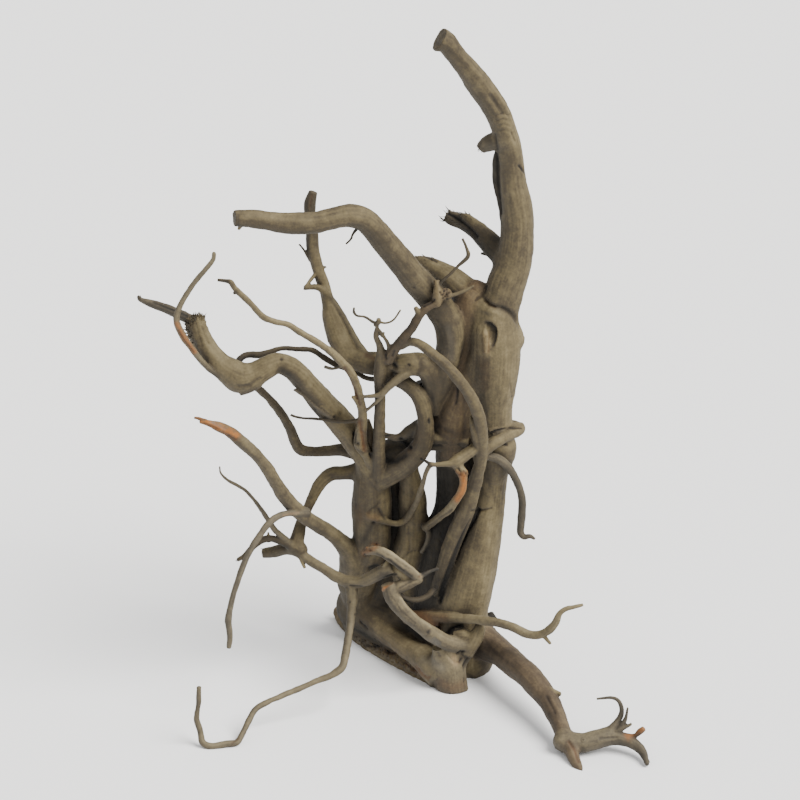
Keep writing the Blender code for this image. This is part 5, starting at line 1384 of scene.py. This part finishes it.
heading_of.data_type = "FLOAT_VECTOR"
heading_of.inputs["Name"].default_value = "heading"
length_of = tree.nodes.new("GeometryNodeInputNamedAttribute")
length_of.data_type = "FLOAT"
length_of.inputs["Name"].default_value = "length"
spread = tree.nodes.new("FunctionNodeRandomValue")
spread.data_type = "FLOAT"
spread.inputs["Min"].default_value = 0.35
spread.inputs["Max"].default_value = 1.0
wide = tree.nodes.new("ShaderNodeMath")
wide.operation = "MULTIPLY"
size = tree.nodes.new("ShaderNodeCombineXYZ")
stand_up = tree.nodes.new("GeometryNodeInstanceOnPoints")
real = tree.nodes.new("GeometryNodeRealizeInstances")
wave = tree.nodes.new("ShaderNodeTexNoise")
wave.inputs["Scale"].default_value = 420.0
centred = tree.nodes.new("ShaderNodeVectorMath")
centred.operation = "SUBTRACT"
centred.inputs[1].default_value = (0.5, 0.5, 0.5)
bent = tree.nodes.new("ShaderNodeVectorMath")
bent.operation = "SCALE"
moved = tree.nodes.new("GeometryNodeSetPosition")
wood = tree.nodes.new("GeometryNodeSetMaterial")
wood.inputs["Material"].default_value = moor_wood
for a, b in (
        (given.outputs["Places"], stand_up.inputs["Points"]),
        (cone.outputs["Mesh"], stand_up.inputs["Instance"]),
        (heading_of.outputs["Attribute"], turned.inputs["Vector"]),
        (turned.outputs["Rotation"], stand_up.inputs["Rotation"]),
        (given.outputs["Seed"], spread.inputs["Seed"]), (spread.outputs[1], wide.inputs[0]),
        (given.outputs["Thickness"], wide.inputs[1]), (wide.outputs[0], size.inputs["X"]),
        (wide.outputs[0], size.inputs["Y"]), (length_of.outputs["Attribute"], size.inputs["Z"]),
        (size.outputs["Vector"], stand_up.inputs["Scale"]),
        (stand_up.outputs["Instances"], real.inputs["Geometry"]),
        (real.outputs["Geometry"], moved.inputs["Geometry"]), (wave.outputs["Color"], centred.inputs[0]),
        (centred.outputs["Vector"], bent.inputs[0]), (given.outputs["Bend"], bent.inputs["Scale"]),
        (bent.outputs["Vector"], moved.inputs["Offset"]),
        (moved.outputs["Geometry"], wood.inputs["Geometry"]),
        (wood.outputs["Geometry"], result.inputs["Fibres"])):
    tree.links.new(a, b)
grown = fibre_places.modifiers.new("fibres", "NODES")
grown.node_group = tree
settings = {"Thickness": FIBRE_THICKNESS, "Bend": FIBRE_BEND, "Seed": FIBRE_SEED}
for socket in tree.interface.items_tree:
    if socket.name in settings:
        grown[socket.identifier] = settings[socket.name]
evaluated_scene = bpy.context.evaluated_depsgraph_get()
fibre_mesh = bpy.data.meshes.new_from_object(fibre_places.evaluated_get(evaluated_scene))
bpy.data.objects.remove(fibre_places)
fibre_mesh.name = "torn_fibres"
fibre_mesh.materials.clear()
fibre_mesh.materials.append(moor_wood)
fibres = bpy.data.objects.new("torn_fibres", fibre_mesh)
bpy.context.scene.collection.objects.link(fibres)
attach(fibres, "root")
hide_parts("moor_root")

# Floor
# A plain pale sheet that the root stands on.
# It isn't part of the root.
bpy.ops.mesh.primitive_plane_add(size=6.0, location=(0, 0, 0))
floor = bpy.context.object
floor.name = "floor"
floor_paint = bpy.data.materials.new("pale_floor")
floor_paint.use_nodes = True
floor_shader = floor_paint.node_tree.nodes["Principled BSDF"]
floor_shader.inputs["Base Color"].default_value = (0.86, 0.86, 0.86, 1.0)
floor_shader.inputs["Roughness"].default_value = 0.9
floor.data.materials.append(floor_paint)

# Light
# A large soft lamp high on the right, and an even white room.
# The lamp spreads over 38 degrees, which gives its shadows soft edges.
LAMP_SPREAD = math.radians(38.0)
LAMP_TILT = math.radians(38.0)
LAMP_TURN = math.radians(62.0)
world = bpy.data.worlds.new("room")
bpy.context.scene.world = world
world.use_nodes = True
world.node_tree.nodes["Background"].inputs["Color"].default_value = (1.0, 1.0, 1.0, 1.0)
world.node_tree.nodes["Background"].inputs["Strength"].default_value = 1.0
lamp = bpy.data.lights.new("key", "SUN")
lamp.angle = LAMP_SPREAD
lamp.energy = 6.4
lamp.color = (1.0, 0.985, 0.955)
key = bpy.data.objects.new("key", lamp)
bpy.context.scene.collection.objects.link(key)
key.rotation_euler = (LAMP_TILT, 0.0, LAMP_TURN)

# Camera
# A viewer in front looks 25 degrees down at the root.
# The picture is 480 mm across at the root.
PICTURE_WIDTH = 0.48
SENSOR = 36.0
lens = bpy.data.cameras.new("viewer")
lens.sensor_width = SENSOR
lens.lens = SENSOR * VIEW_DISTANCE / PICTURE_WIDTH
lens.clip_end = 20.0
viewer = bpy.data.objects.new("viewer", lens)
bpy.context.scene.collection.objects.link(viewer)
viewer.location = EYE - BASE_MIDDLE
viewer.rotation_euler = (math.pi / 2 - VIEW_TILT, 0.0, 0.0)
bpy.context.scene.camera = viewer
